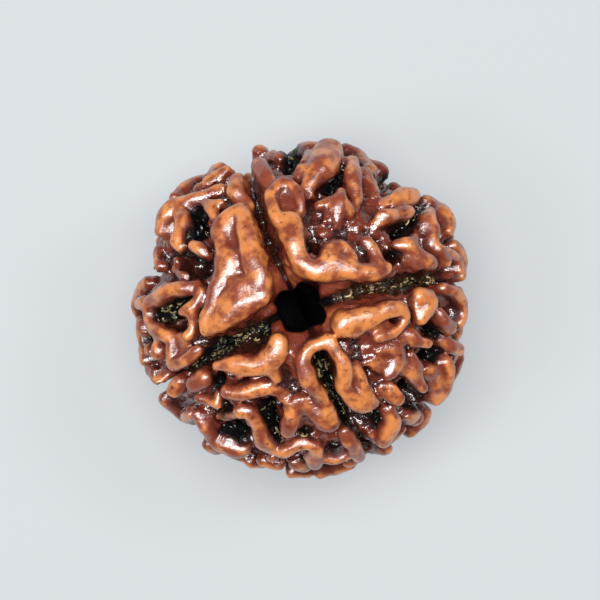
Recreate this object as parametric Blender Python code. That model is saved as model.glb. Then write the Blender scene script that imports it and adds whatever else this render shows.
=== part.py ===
"""Rudraksha seed with four faces: one solid, woody nut with a bore along its axis and a net of ridges.

The nut is turned from a profile that runs up the bore and down the outside. Its surface is then set by a
formula: four seams from pole to pole, a collar round the bore, the pits, and slopes up to the ridges' feet.
Each ridge is a section extruded along its own route, and short wandering ridges fill the bare floor that is
left. Everything is fused into one skin, eased, and cut flat where the seed rests.
"""

import math
import random

import bmesh
import bpy
import numpy as np
from mathutils import Matrix, Vector, noise
from mathutils.kdtree import KDTree

# Driving dimensions, in millimetres
MM = 0.001
CREST_RADIUS = 11.2  # from the axis to the ridges' tops, at the middle
CREST_HALF_HEIGHT = 10.0  # from the middle to the ridges' tops, at a pole
REST_HEIGHT = 9.3  # from the middle down to the flat feet
FLOOR_DEPTH = 2.05  # from the ridges' tops down to the floor between them
ROOT_DEPTH = 0.9  # how far a ridge's root is sunk below the floor
SLOPE_TOP = 1.05  # how far below a ridge's crest the floor's slope up to it ends
SLOPE_REACH = 1.7  # how far from the ridge that slope starts
LOWER_RIM_DEPTH = 0.45  # how deep the lower half's ridges stay at the waist
RIM_RADIUS = 9.0  # how far from the axis that starts
RIDGE_WIDENED = 1.2  # how much wider the ridges are made than their routes say, because easing narrows them
SEAM_DEPTH = 0.9
SEAM_HALF_WIDTH = 0.45
SEAM_RUN_IN = 2.5  # how far from the bore's mouth a seam reaches its full depth
SEAM_LEAST = 0.3  # the share of that depth that it has at the mouth
CRACK_DEPTH = 0.7
CRACK_HALF_WIDTH = 0.14
COLLAR_DEPTH = 0.7
COLLAR_REACH = 1.3  # how far from the bore's mouth the collar slopes down to it
BORE_MOUTH_RADIUS = 1.5
BORE_WAIST_RADIUS = 1.15
BORE_REACH = 4.6  # how far up and down from the middle the bore's waist runs
BORE_WAVER = 1.3  # how far the bore swings to each side of the axis, so that nothing shows through it
MOUTH_REACH = 0.8  # how fast the bore's uneven outline dies away from its mouth outwards
PIT_DEPTH = 1.6  # how much deeper a pit is than the floor
PIT_MARGIN = 0.4  # how far a pit's slope reaches past its radius
PIT_SLOPE = 0.65  # how wide that slope is
PIT_SIGHT = 1.0  # the depth at which a pit's place in the view is read
MOST_FLOOR_DEPTH = 2.2  # the deepest hollow below the floor
FLOOR_UNEVEN = 0.3
FLOOR_BUMP = 2.2
LUMP_HEIGHT = 0.15
LUMP_SIZE = 1.1
END_SHARES = (0.5, 0.85, 0.99)  # where a ridge's round end has its sections, in shares of the half width

# The four seams' directions round the axis, in degrees, and a turned-over seed's order of them
SEAMS = (13.0, 115.0, 207.0, 291.5)
TURNED = {0: 2, 1: 1, 2: 0, 3: 3}
SEAM_BEND_POLARS = (8.0, 28.0, 50.0, 90.0)
SEAM_BENDS = ((12.0, 15.0, 12.5, 10.5), (118.0, 117.0, 114.0, 112.5), (202.0, 207.5, 209.0, 211.0),
              (294.0, 290.5, 291.5, 294.0))

# The bore's uneven outline at its mouth: (direction, how much wider or narrower it is there)
BORE_RIM = (
    (-15.0, 0.1), (10.0, -0.33), (45.0, 0.06), (59.0, 0.25), (86.0, 0.05), (114.0, -0.29), (140.0, 0.1),
    (165.0, 0.46), (180.0, 0.1), (212.0, 0.03), (242.0, 0.2), (270.0, 0.15), (302.0, 0.03), (327.0, 0.16),
    (345.0, 0.1), (370.0, -0.33),
)

# The short ridges that fill bare floor, which are drawn with a seed
FILLER_SEED = 8
FILLER_TRIES = 1500
FILLER_STEP = 0.4
FILLER_MOST_POINTS = 14
FILLER_ROOM = 0.3  # how far it keeps from other ridges
FILLER_SEAM_ROOM = 0.55  # how far it keeps from a seam
FILLER_PIT_SHARE = 0.25  # how far into a pit's slope it may run
FILLER_HALF_WIDTHS = (0.38, 0.62)
FILLER_DEPTHS = (0.3, 0.8)
FILLER_POLE_SHARE = 0.72  # how near a pole it may start, as a share of the half height
FILLER_TURN = 0.75

# Meshing
TURN_STEPS = 200
OUTSIDE_STEPS = 96
BORE_STEPS = 20
ROUTE_STEP = 0.3
VOXEL = 0.2
EASING_ROUNDS = 4
TRIANGLES = 11400

# Ridges as seen from above, each with points (x, y, half width, depth of the crest below the ridges' tops)
RIDGES_NORTH = [
    # the bent ridge beside the bore
    [(-0.8, 5.7, 0.75, 0.1), (-0.6, 4.8, 0.75, 0.0), (-0.3, 3.8, 0.55, 0.0), (0.1, 2.9, 0.6, 0.05),
     (0.8, 2.45, 0.55, 0.1), (1.7, 2.65, 0.75, 0.0), (2.6, 2.7, 0.75, 0.0), (3.6, 2.35, 0.55, 0.05),
     (4.6, 2.35, 0.6, 0.05), (5.5, 2.5, 0.42, 0.15)],
    [(1.7, 3.1, 0.5, 0.1), (2.2, 3.8, 0.55, 0.15), (2.9, 3.7, 0.4, 0.3), (3.3, 3.2, 0.35, 0.2)],
    [(4.2, 4.3, 0.3, 0.45), (4.6, 4.0, 0.32, 0.4), (4.9, 3.4, 0.35, 0.3), (5.1, 2.8, 0.4, 0.15)],
    # the hollow plate above it
    [(-1.4, 5.6, 0.4, 0.15), (-1.85, 6.6, 0.38, 0.1), (-2.0, 7.4, 0.4, 0.0), (-1.1, 8.15, 0.42, 0.0),
     (-0.35, 7.6, 0.38, 0.1), (-0.1, 6.8, 0.3, 0.25), (0.0, 6.2, 0.25, 0.45)],
    [(-1.4, 7.3, 0.5, 0.5), (-0.9, 6.6, 0.5, 0.6)],
    # the long knob at the rim, with its shoulder
    [(1.9, 10.75, 0.85, -0.45), (1.45, 9.6, 0.85, -0.3), (0.8, 8.8, 0.6, 0.0), (0.5, 8.0, 0.5, 0.3),
     (0.6, 7.3, 0.42, 0.7)],
    [(0.6, 8.9, 0.4, 0.2), (-0.1, 9.0, 0.38, 0.1), (-0.25, 8.4, 0.3, 0.5)],
    # the finger left of it
    [(-2.75, 9.5, 0.5, 0.0), (-2.4, 8.7, 0.5, 0.05), (-1.9, 7.9, 0.42, 0.4)],
    # the wrinkled ridge right of the deep pit
    [(3.4, 9.7, 0.42, 0.15), (3.5, 8.7, 0.48, 0.1), (3.6, 7.8, 0.45, 0.3), (3.65, 6.9, 0.38, 0.7),
     (3.5, 6.1, 0.3, 1.0)],
    # the star
    [(2.65, 7.55, 0.3, 0.2), (2.5, 6.9, 0.55, 0.2), (2.3, 6.2, 0.5, 0.5), (2.4, 5.4, 0.42, 0.9)],
    [(2.4, 7.0, 0.4, 0.3), (1.75, 6.8, 0.4, 0.5), (1.2, 6.5, 0.32, 0.8)],
    [(2.6, 7.0, 0.4, 0.35), (3.1, 6.5, 0.36, 0.55), (3.1, 5.8, 0.3, 0.95)],
    [(4.3, 8.9, 0.4, 0.5), (4.6, 8.0, 0.4, 0.6), (4.8, 7.2, 0.4, 0.8)],
    [(1.6, 6.2, 0.22, 0.95), (1.6, 5.5, 0.22, 1.0)],
    # low webs between them
    [(0.9, 5.6, 0.5, 1.5), (1.5, 4.8, 0.5, 1.4)],
    [(3.2, 5.2, 0.5, 1.3), (3.9, 5.3, 0.55, 1.3), (4.6, 6.2, 0.5, 1.2), (4.7, 7.2, 0.45, 1.0)],
    [(4.5, 5.0, 0.4, 1.2), (5.4, 4.5, 0.4, 1.25)],
    # the two-lobed ridge and the knob behind it
    [(4.95, 5.3, 0.35, 0.7), (5.45, 6.0, 0.48, 0.1), (6.2, 6.1, 0.4, 0.15), (7.1, 6.35, 0.38, 0.05)],
    [(5.2, 6.7, 0.35, 0.7), (6.0, 7.0, 0.42, 0.35), (6.9, 7.4, 0.6, 0.0), (7.5, 7.55, 0.5, -0.1)],
    # the upright ridge at the east, and the three-armed one
    [(8.6, 6.35, 0.35, 0.0), (8.5, 5.7, 0.5, 0.0), (8.8, 5.0, 0.5, 0.0), (8.7, 4.3, 0.4, 0.2),
     (8.6, 3.8, 0.32, 0.5)],
    [(6.2, 4.1, 0.32, 0.4), (6.9, 4.15, 0.46, 0.05), (7.5, 3.8, 0.46, 0.1), (8.0, 3.2, 0.52, 0.0),
     (8.6, 2.9, 0.38, 0.05)],
    [(7.3, 4.1, 0.3, 0.1), (7.45, 4.55, 0.24, 0.1)],
    [(7.1, 3.3, 0.45, 0.4), (7.6, 2.8, 0.42, 0.4)],
    [(9.1, 3.8, 0.3, 0.1), (9.6, 3.0, 0.42, 0.2)],
    [(8.9, 6.9, 0.36, 0.1), (9.5, 6.35, 0.42, -0.35), (9.9, 5.7, 0.42, -0.45), (9.8, 5.0, 0.38, -0.2)],
    [(9.5, 3.7, 0.32, 0.1), (10.05, 3.45, 0.36, 0.0), (10.5, 3.0, 0.36, -0.1), (10.5, 2.45, 0.32, 0.0)],
]
RIDGES_WEST = [
    # the long leg beside the seam, and the broad foot
    [(-4.0, 6.4, 0.5, 0.05), (-3.7, 5.6, 0.55, 0.0), (-3.5, 4.6, 0.62, 0.0), (-3.3, 3.5, 0.66, 0.0),
     (-3.0, 2.4, 0.68, 0.0), (-2.7, 1.4, 0.65, 0.05), (-2.4, 0.9, 0.45, 0.3)],
    [(-2.6, 0.7, 0.5, 0.2), (-3.4, 0.4, 0.75, 0.05), (-4.2, 0.1, 0.95, 0.0), (-5.1, -0.6, 0.8, 0.0),
     (-5.95, -1.35, 0.5, 0.1)],
    [(-3.5, 1.5, 0.6, 0.1), (-4.2, 0.9, 0.7, 0.05), (-4.9, 0.3, 0.6, 0.1)],
    # the lumpy leg at its left
    [(-4.0, 6.5, 0.4, 0.1), (-4.7, 5.9, 0.55, 0.1), (-5.4, 5.1, 0.68, 0.05), (-5.15, 4.1, 0.5, 0.25),
     (-4.95, 3.0, 0.78, 0.0), (-5.2, 2.1, 0.55, 0.2), (-5.55, 1.1, 0.5, 0.2), (-5.85, 0.1, 0.5, 0.15),
     (-6.2, -0.8, 0.42, 0.1), (-6.2, -1.5, 0.42, 0.1)],
    [(-4.4, 5.1, 0.42, 0.45), (-4.25, 3.8, 0.42, 0.65), (-4.1, 2.6, 0.45, 0.6), (-4.4, 1.6, 0.45, 0.35)],
    # the small forked ridge above
    [(-6.35, 6.85, 0.25, 0.35), (-5.9, 6.7, 0.3, 0.35), (-5.2, 6.75, 0.22, 0.4)],
    [(-6.1, 6.7, 0.28, 0.35), (-5.8, 6.2, 0.34, 0.3), (-5.7, 5.8, 0.3, 0.5)],
    # the finger beside the seam at the rim
    [(-4.25, 8.35, 0.5, 0.0), (-4.3, 7.7, 0.5, 0.0), (-3.9, 7.1, 0.38, 0.4), (-3.5, 6.6, 0.3, 0.7)],
    # the hand at the rim
    [(-5.2, 7.8, 0.34, 0.7), (-6.3, 7.45, 0.34, 0.4), (-7.4, 7.1, 0.45, 0.0), (-8.5, 6.75, 0.56, -0.4),
     (-9.2, 6.0, 0.58, -0.5), (-9.3, 5.1, 0.45, -0.1)],
    [(-8.0, 6.6, 0.4, 0.1), (-7.9, 5.8, 0.46, 0.05), (-8.0, 5.0, 0.4, 0.1), (-8.2, 4.35, 0.5, 0.0),
     (-7.9, 4.0, 0.4, 0.2)],
    [(-7.05, 4.05, 0.36, 0.3), (-6.6, 3.75, 0.38, 0.35), (-6.15, 3.3, 0.32, 0.7)],
    [(-8.1, 3.1, 0.25, 1.0), (-8.1, 2.4, 0.25, 1.0), (-7.6, 1.9, 0.28, 1.0)],
    # the ring round the western pit
    [(-6.7, 1.35, 0.34, 0.6), (-7.6, 1.2, 0.42, 0.25), (-8.6, 1.15, 0.48, 0.0), (-9.4, 0.75, 0.46, 0.0),
     (-10.1, 0.1, 0.4, 0.0), (-10.0, -0.7, 0.34, 0.1), (-9.85, -1.4, 0.36, 0.0), (-9.2, -1.8, 0.46, 0.0),
     (-8.5, -2.0, 0.42, 0.25)],
    [(-9.3, -1.9, 0.36, 0.1), (-9.45, -2.5, 0.32, 0.15), (-9.5, -3.1, 0.4, 0.0)],
    [(-6.5, 1.1, 0.3, 0.5), (-6.8, 0.4, 0.34, 0.3), (-7.3, -0.15, 0.34, 0.1), (-7.75, -0.35, 0.26, 0.1)],
    [(-7.2, -0.2, 0.32, 0.25), (-7.0, -0.9, 0.34, 0.35), (-7.1, -1.5, 0.3, 0.3), (-7.45, -1.85, 0.3, 0.05)],
    [(-8.3, -3.8, 0.32, 0.05), (-7.6, -3.45, 0.36, 0.05), (-6.9, -2.95, 0.34, 0.15),
     (-6.6, -2.75, 0.22, 0.3)],
    [(-8.4, -3.7, 0.34, 0.1), (-8.5, -2.8, 0.34, 0.15), (-8.1, -2.1, 0.36, 0.4), (-7.4, -2.2, 0.34, 0.5)],
    [(-7.9, -3.0, 0.45, 0.45), (-7.6, -2.6, 0.4, 0.5)],
]
RIDGES_SOUTH = [
    # the long ridge beside the seam
    [(-5.5, -3.85, 0.3, 0.2), (-4.7, -3.8, 0.48, 0.05), (-3.8, -3.95, 0.66, 0.0), (-2.9, -3.85, 0.6, 0.05),
     (-2.1, -3.5, 0.74, 0.0), (-1.65, -2.9, 0.62, 0.0), (-1.5, -2.2, 0.5, 0.2)],
    [(-3.9, -4.2, 0.4, 0.15), (-3.95, -4.5, 0.22, 0.3)],
    [(-1.9, -3.9, 0.4, 0.15), (-1.6, -4.6, 0.3, 0.5)],
    # the flat ridge below it
    [(-4.8, -5.6, 0.45, 0.1), (-4.0, -5.65, 0.45, 0.2), (-3.0, -5.4, 0.52, 0.25), (-2.2, -5.3, 0.46, 0.4),
     (-1.4, -5.4, 0.42, 0.7), (-0.9, -5.9, 0.45, 0.8)],
    # the egg and the plate at its foot
    [(-7.1, -5.05, 0.5, 0.0), (-6.5, -4.8, 0.55, 0.05)],
    [(-6.65, -5.95, 0.28, 0.2), (-6.0, -6.15, 0.36, 0.2), (-5.5, -6.35, 0.3, 0.1)],
    [(-5.5, -6.2, 0.28, 0.25), (-5.45, -5.6, 0.26, 0.5), (-5.6, -5.1, 0.2, 0.9)],
    [(-6.0, -5.8, 0.4, 0.6), (-5.8, -5.5, 0.35, 0.8)],
    [(-9.5, -4.8, 0.42, -0.2), (-9.0, -4.35, 0.36, 0.4)],
    [(-8.5, -5.6, 0.46, -0.1), (-8.05, -4.95, 0.42, 0.3)],
    # the hooked ridge round the south-western pit
    [(-4.0, -6.85, 0.46, 0.05), (-3.35, -6.95, 0.34, 0.2), (-3.0, -7.6, 0.4, 0.2), (-2.75, -8.4, 0.46, 0.05),
     (-2.4, -9.1, 0.52, 0.0), (-1.7, -9.5, 0.4, 0.1), (-1.0, -9.5, 0.38, 0.0), (-0.3, -9.1, 0.34, 0.1),
     (0.5, -9.0, 0.3, 0.2), (1.05, -9.3, 0.36, 0.1)],
    [(1.05, -9.4, 0.42, 0.05), (1.0, -10.0, 0.58, 0.0), (0.95, -10.4, 0.5, 0.0)],
    [(-6.9, -7.1, 0.34, 0.2), (-6.35, -8.0, 0.4, 0.0), (-5.9, -8.8, 0.44, 0.0), (-5.1, -9.2, 0.44, 0.0),
     (-4.4, -9.6, 0.5, 0.0), (-3.7, -9.4, 0.3, 0.3)],
    [(-5.3, -7.1, 0.28, 0.9), (-4.7, -7.1, 0.28, 0.8), (-4.2, -7.0, 0.3, 0.4)],
    # the forked foot
    [(-0.2, -6.2, 0.55, 0.5), (-0.5, -7.0, 0.55, 0.3), (-0.75, -7.7, 0.5, 0.1), (-0.9, -8.3, 0.46, 0.0)],
    [(-0.2, -6.2, 0.55, 0.5), (0.4, -6.5, 0.55, 0.4), (1.0, -7.0, 0.56, 0.2), (1.5, -7.6, 0.58, 0.05)],
    # the western leg of the arch
    [(1.2, -2.35, 0.36, 0.4), (0.55, -2.8, 0.38, 0.3), (0.2, -3.5, 0.42, 0.1), (0.25, -4.3, 0.5, 0.0),
     (0.6, -5.0, 0.5, 0.0), (1.1, -5.6, 0.42, 0.1), (1.5, -6.3, 0.42, 0.3), (1.8, -7.1, 0.52, 0.2),
     (2.05, -7.75, 0.52, 0.05)],
    # ridges at the southern rim
    [(2.8, -8.1, 0.34, 0.5), (3.15, -8.8, 0.42, 0.1), (3.6, -9.5, 0.42, 0.0), (3.85, -9.95, 0.36, 0.0)],
    [(1.8, -10.0, 0.34, 0.0), (2.5, -9.95, 0.3, 0.0), (3.2, -9.6, 0.32, 0.1)],
]
RIDGES_EAST = [
    # the eastern leg of the arch and its inner twin
    [(1.2, -2.35, 0.36, 0.4), (1.8, -2.3, 0.46, 0.3), (2.3, -3.0, 0.38, 0.2), (2.75, -3.8, 0.42, 0.05),
     (2.85, -4.7, 0.46, 0.0), (3.0, -5.5, 0.48, 0.0), (3.6, -6.2, 0.55, 0.0), (4.3, -6.4, 0.52, 0.0),
     (4.85, -6.3, 0.4, 0.1)],
    [(3.6, -3.8, 0.3, 0.45), (3.9, -4.7, 0.36, 0.3), (4.2, -5.5, 0.42, 0.15), (4.5, -6.1, 0.42, 0.05)],
    # the great head beside the seam, which hooks back round two dimples
    [(3.1, -1.15, 0.85, 0.0), (3.9, -1.0, 0.8, 0.0), (4.9, -0.5, 0.56, 0.05), (5.9, -0.15, 0.5, 0.0),
     (6.6, -0.15, 0.46, 0.0), (6.75, -0.75, 0.32, 0.15), (6.4, -1.35, 0.3, 0.15), (5.8, -1.8, 0.34, 0.1),
     (5.0, -1.95, 0.34, 0.15)],
    [(4.6, -1.3, 0.4, 0.45), (5.5, -1.2, 0.3, 0.6)],
    # the broad knob and the finger past it
    [(8.0, 0.7, 0.55, 0.05), (8.6, 0.55, 0.58, 0.0), (8.3, -0.2, 0.55, 0.0), (8.0, -0.75, 0.42, 0.1)],
    [(7.7, 0.2, 0.5, 0.35), (7.8, -0.4, 0.4, 0.35)],
    [(9.1, -0.3, 0.3, 0.2), (9.45, -0.85, 0.4, 0.0), (9.9, -1.35, 0.45, 0.0)],
    # the ring at the rim
    [(9.4, 1.2, 0.34, 0.3), (10.1, 1.05, 0.34, 0.0), (10.55, 0.4, 0.34, 0.0), (10.65, -0.5, 0.34, 0.0),
     (10.4, -1.1, 0.3, 0.1)],
    [(9.1, -2.25, 0.34, 0.6), (9.8, -2.5, 0.38, 0.1), (10.5, -2.85, 0.4, -0.25)],
    # tips and webs
    [(6.2, -2.3, 0.5, 0.7), (7.0, -1.9, 0.5, 0.4), (7.7, -2.25, 0.4, 0.2), (8.25, -2.4, 0.32, 0.1)],
    [(4.4, -2.6, 0.5, 0.9), (5.4, -2.6, 0.55, 0.7), (6.2, -2.9, 0.6, 0.4), (6.4, -3.5, 0.56, 0.3),
     (6.0, -4.2, 0.42, 0.2), (5.6, -4.5, 0.3, 0.2)],
    [(4.2, -3.1, 0.45, 1.0), (5.0, -3.3, 0.5, 0.8), (5.4, -3.9, 0.4, 0.5), (5.7, -4.4, 0.36, 0.3)],
    [(4.15, -3.5, 0.22, 0.7), (4.6, -3.7, 0.24, 0.65), (4.95, -4.1, 0.24, 0.7)],
    [(6.6, -4.0, 0.46, 0.5), (7.2, -4.2, 0.5, 0.2), (7.65, -4.75, 0.42, 0.1), (8.0, -5.3, 0.28, 0.0)],
    [(7.2, -3.3, 0.42, 0.6), (7.6, -4.1, 0.42, 0.35)],
    [(5.2, -5.3, 0.36, 0.7), (5.8, -5.75, 0.46, 0.35), (6.35, -6.05, 0.4, 0.15)],
    [(5.3, -4.9, 0.3, 1.0), (5.9, -5.3, 0.32, 0.4), (6.45, -5.9, 0.3, 0.15)],
    # the outer ridges of the south-east
    [(8.2, -4.1, 0.4, 0.6), (8.9, -4.5, 0.55, 0.25), (9.15, -5.3, 0.52, 0.0), (8.8, -6.0, 0.42, 0.1)],
    [(9.6, -3.6, 0.34, 0.0), (9.8, -4.5, 0.38, -0.25), (9.6, -5.4, 0.42, -0.3), (9.0, -6.2, 0.38, -0.15)],
    [(5.8, -6.8, 0.4, 0.4), (6.1, -7.5, 0.5, 0.05), (5.9, -8.3, 0.62, -0.1), (5.6, -8.9, 0.5, -0.15)],
]

# Ridges at the waist, each with points (degrees round the axis, degrees from the upper pole, half width,
# depth)
RIDGES_WAIST = [
    [(105, 88, 0.45, 0.4), (103, 97, 0.45, 0.9), (100, 106, 0.4, 1.0)],
    [(120, 84, 0.42, 0.4), (122, 92, 0.45, 0.4), (123, 101, 0.4, 0.5)],
    [(139, 88, 0.42, 0.0), (134, 94, 0.45, 0.1), (129, 97, 0.45, 0.2), (126, 94, 0.4, 0.5)],
    [(151, 94, 0.45, 0.9), (158, 98, 0.45, 1.2), (163, 100, 0.4, 1.2)],
    [(171, 82, 0.4, 0.8), (175, 91, 0.45, 0.3), (181, 96, 0.45, 0.2), (186, 98, 0.36, 0.6)],
    [(74, 92, 0.45, 0.2), (69, 90, 0.5, 0.4), (65, 84, 0.45, 0.7), (62, 76, 0.4, 0.9)],
    [(40, 86, 0.5, 0.1), (34, 91, 0.55, 0.0), (29, 93, 0.55, 0.0), (26, 91, 0.45, 0.2)],
    [(22, 80, 0.36, 0.1), (18, 86, 0.42, 0.0), (14, 88, 0.4, 0.1), (11, 82, 0.3, 0.3)],
    [(342, 96, 0.36, 0.0), (336, 98, 0.4, 0.0), (331, 97, 0.36, 0.2)],
    [(311, 94, 0.42, 0.0), (316, 95, 0.5, 0.0), (320, 93, 0.4, 0.2)],
    [(301, 94, 0.45, 0.1), (297, 100, 0.4, 0.3)],
    [(277, 94, 0.42, 0.0), (282, 96, 0.45, 0.0), (287, 96, 0.4, 0.1)],
    [(267, 90, 0.34, 0.1), (272, 94, 0.36, 0.1)],
    [(214, 94, 0.42, 0.2), (219, 98, 0.45, 0.2), (224, 98, 0.4, 0.4)],
    [(203, 93, 0.42, 0.2), (201, 100, 0.4, 0.3)],
    [(195, 96, 0.36, 0.3), (199, 90, 0.36, 0.2)],
    [(236, 90, 0.42, 0.1), (240, 98, 0.45, 0.1), (238, 106, 0.4, 0.2)],
    [(252, 88, 0.4, 0.3), (256, 96, 0.45, 0.6), (254, 105, 0.4, 0.6)],
]

# Pits as seen from above, each with points (x, y) and the pit's radius
PITS = [
    ([(1.7, 8.0), (2.4, 8.9), (2.7, 9.7)], 0.55),
    ([(0.7, 3.9)], 0.4),
    ([(6.5, 4.9), (7.4, 5.6), (8.0, 6.7)], 0.35),
    ([(8.1, 4.6), (8.1, 3.9)], 0.3),
    ([(6.0, 3.4)], 0.36),
    ([(-6.7, 6.3), (-6.9, 5.4), (-7.0, 4.7)], 0.55),
    ([(-7.4, 3.0), (-6.7, 2.7)], 0.7),
    ([(-9.2, -0.7), (-8.6, -0.2), (-7.3, 0.6)], 0.6),
    ([(-7.8, -1.1)], 0.35),
    ([(-2.8, -1.9), (-3.6, -2.1)], 0.6),
    ([(-4.8, -2.4), (-6.0, -2.9), (-7.3, -4.0)], 0.45),
    ([(-2.3, -6.8), (-2.0, -7.6), (-1.7, -8.5)], 0.5),
    ([(0.2, -8.2)], 0.35),
    ([(0.2, -9.8)], 0.3),
    ([(2.1, -9.1)], 0.45),
    ([(-5.2, -8.2), (-4.3, -8.4), (-3.8, -8.0)], 0.75),
    ([(-5.9, -7.5)], 0.4),
    ([(1.3, -3.2), (1.5, -4.2), (2.0, -5.2), (2.6, -6.6), (3.3, -7.8)], 0.5),
    ([(-3.6, -4.9), (-2.2, -4.85)], 0.25),
    ([(-5.4, -4.7), (-4.9, -6.7)], 0.35),
    ([(8.2, -1.4), (8.8, -1.7)], 0.35),
    ([(8.2, -3.1), (9.2, -3.2)], 0.5),
    ([(6.9, -5.2), (7.4, -6.2)], 0.7),
    ([(3.9, -7.6), (5.0, -7.3)], 0.6),
    ([(6.0, -1.2)], 0.25),
]

# Pits at the waist, where the outline dips, each with points (degrees round the axis, degrees from the upper
# pole) and the pit's radius
PITS_WAIST = [
    ([(56, 74), (55, 92), (57, 104)], 0.45),
    ([(94, 70), (94, 92), (92, 112)], 0.6),
    ([(162, 78), (163, 90), (168, 100)], 0.65),
    ([(193, 84), (193, 98)], 0.35),
    ([(26, 80), (24, 100)], 0.25),
    ([(303, 104), (303, 112)], 0.4),
]


def seam_fraction(azimuth):
    """The face that a direction lies in, and how far across it, from 0 at one seam to 1 at the next."""
    azimuth = (azimuth - SEAMS[0]) % 360.0 + SEAMS[0]
    face = max(k for k in range(4) if azimuth >= SEAMS[k])
    return face, (azimuth - SEAMS[face]) / ((SEAMS[(face + 1) % 4] - SEAMS[face]) % 360.0)


def turned_over(azimuth):
    """Where a direction of the upper half comes to lie when its pattern is turned over for the lower half."""
    face, fraction = seam_fraction(azimuth)
    start = SEAMS[TURNED[face]]
    return start - fraction * ((start - SEAMS[TURNED[(face + 1) % 4]]) % 360.0)


def at_depth(point, depth):
    """The point moved straight in or out, to this depth below the ellipsoid that the ridges' tops lie on."""
    unit = Vector((point.x / CREST_RADIUS, point.y / CREST_RADIUS, point.z / CREST_HALF_HEIGHT)).normalized()
    radius, half_height = CREST_RADIUS - depth, CREST_HALF_HEIGHT - depth
    return Vector((unit.x * radius, unit.y * radius, unit.z * half_height))


def by_angles(azimuth, polar):
    """The crest point in this direction: degrees round the axis, and degrees from the upper pole."""
    turn, tilt = math.radians(azimuth), math.radians(polar)
    flat = math.sin(tilt)
    return Vector((CREST_RADIUS * flat * math.cos(turn), CREST_RADIUS * flat * math.sin(turn),
                   CREST_HALF_HEIGHT * math.cos(tilt)))


def by_view(x, y, depth=0.0, lower=False):
    """The point that shows at (x, y) from above, or that point's place on the lower half."""
    radius, half_height = CREST_RADIUS - depth, CREST_HALF_HEIGHT - depth
    share = min(1.0, math.hypot(x, y) / radius)
    height = half_height * math.sqrt(1.0 - share * share)
    azimuth = math.atan2(y, x)
    if lower:
        azimuth = math.radians(turned_over(math.degrees(azimuth)))
        height = -height
    return Vector((share * radius * math.cos(azimuth), share * radius * math.sin(azimuth), height))


def outward(point):
    """The direction straight out of the seed at a point."""
    flat = (CREST_RADIUS / CREST_HALF_HEIGHT) ** 2
    return Vector((point.x, point.y, point.z * flat)).normalized()


def widened(ridge):
    """The ridge with its half widths made wider."""
    return [(place, half * RIDGE_WIDENED, depth) for place, half, depth in ridge]


def depth_there(x, y, depth, lower):
    """A ridge's depth, which on the lower half keeps it inside the outline that the upper half gives."""
    if not lower:
        return depth
    return max(depth, LOWER_RIM_DEPTH if math.hypot(x, y) > RIM_RADIUS else 0.0)


def placed_ridges():
    """Every ridge with a route of its own, as rows of (place on the crest, half width, depth)."""
    ridges = []
    for lower in (False, True):
        for ridge in RIDGES_NORTH + RIDGES_WEST + RIDGES_SOUTH + RIDGES_EAST:
            rows = [(x, y, half, depth_there(x, y, depth, lower)) for x, y, half, depth in ridge]
            points = [(by_view(x, y, depth, lower), half, depth) for x, y, half, depth in rows]
            ridges.append(widened(points))
    for ridge in RIDGES_WAIST:
        points = [(by_angles(azimuth, polar), half, depth) for azimuth, polar, half, depth in ridge]
        ridges.append(widened(points))
    return ridges


def places_taken(ridges):
    """Where the ridges run: points on the crest, each with the ridge's half width and depth."""
    return [(at_depth(place, 0.0), half, depth) for ridge in ridges
            for place, half, depth in stations_of(ridge)]


def filler_ridge(draw, points, halves):
    """One short wandering ridge from a drawn place, which ends where it would meet something."""
    half = draw.uniform(*FILLER_HALF_WIDTHS)
    depth = draw.uniform(*FILLER_DEPTHS)
    polar = math.degrees(math.acos(draw.uniform(-FILLER_POLE_SHARE, FILLER_POLE_SHARE)))
    place = by_angles(draw.uniform(0.0, 360.0), polar)
    heading = draw.uniform(0.0, 2 * math.pi)
    ridge = []
    while len(ridge) < FILLER_MOST_POINTS:
        flat = np.array([at_depth(place, 0.0)])
        room = (np.linalg.norm(points - flat[0], axis=1) - halves).min() - half
        if room < FILLER_ROOM or seam_offsets(flat)[0] < half + FILLER_SEAM_ROOM:
            break
        if pit_share(flat)[0] > FILLER_PIT_SHARE:
            break
        ridge.append((place, half * draw.uniform(0.85, 1.15), depth))
        heading += draw.uniform(-FILLER_TURN, FILLER_TURN)
        up = outward(place)
        side = up.orthogonal().normalized()
        onward = side * math.cos(heading) + up.cross(side) * math.sin(heading)
        place = at_depth(place + onward * FILLER_STEP, 0.0)
    return ridge


def every_ridge():
    """The ridges with routes of their own, then the short ones that fill the bare floor between them."""
    ridges = placed_ridges()
    taken = places_taken(ridges)
    points = np.array([point for point, _, _ in taken])
    halves = np.array([half for _, half, _ in taken])
    draw = random.Random(FILLER_SEED)
    for _ in range(FILLER_TRIES):
        ridge = filler_ridge(draw, points, halves)
        if len(ridge) < 2:
            continue
        ridges.append(ridge)
        new = places_taken([ridge])
        points = np.vstack([points, [point for point, _, _ in new]])
        halves = np.concatenate([halves, [half for _, half, _ in new]])
    return ridges


def curve_value(values, place):
    """A smooth curve's value at a place along its points, which it passes through."""
    i = min(int(place), len(values) - 2)
    t = place - i
    b, c = values[i], values[i + 1]
    a = values[i - 1] if i > 0 else 2 * b - c
    d = values[i + 2] if i + 2 < len(values) else 2 * c - b
    return 0.5 * (2 * b + (c - a) * t + (2 * a - 5 * b + 4 * c - d) * t**2 + (3 * b - a - 3 * c + d) * t**3)


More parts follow.
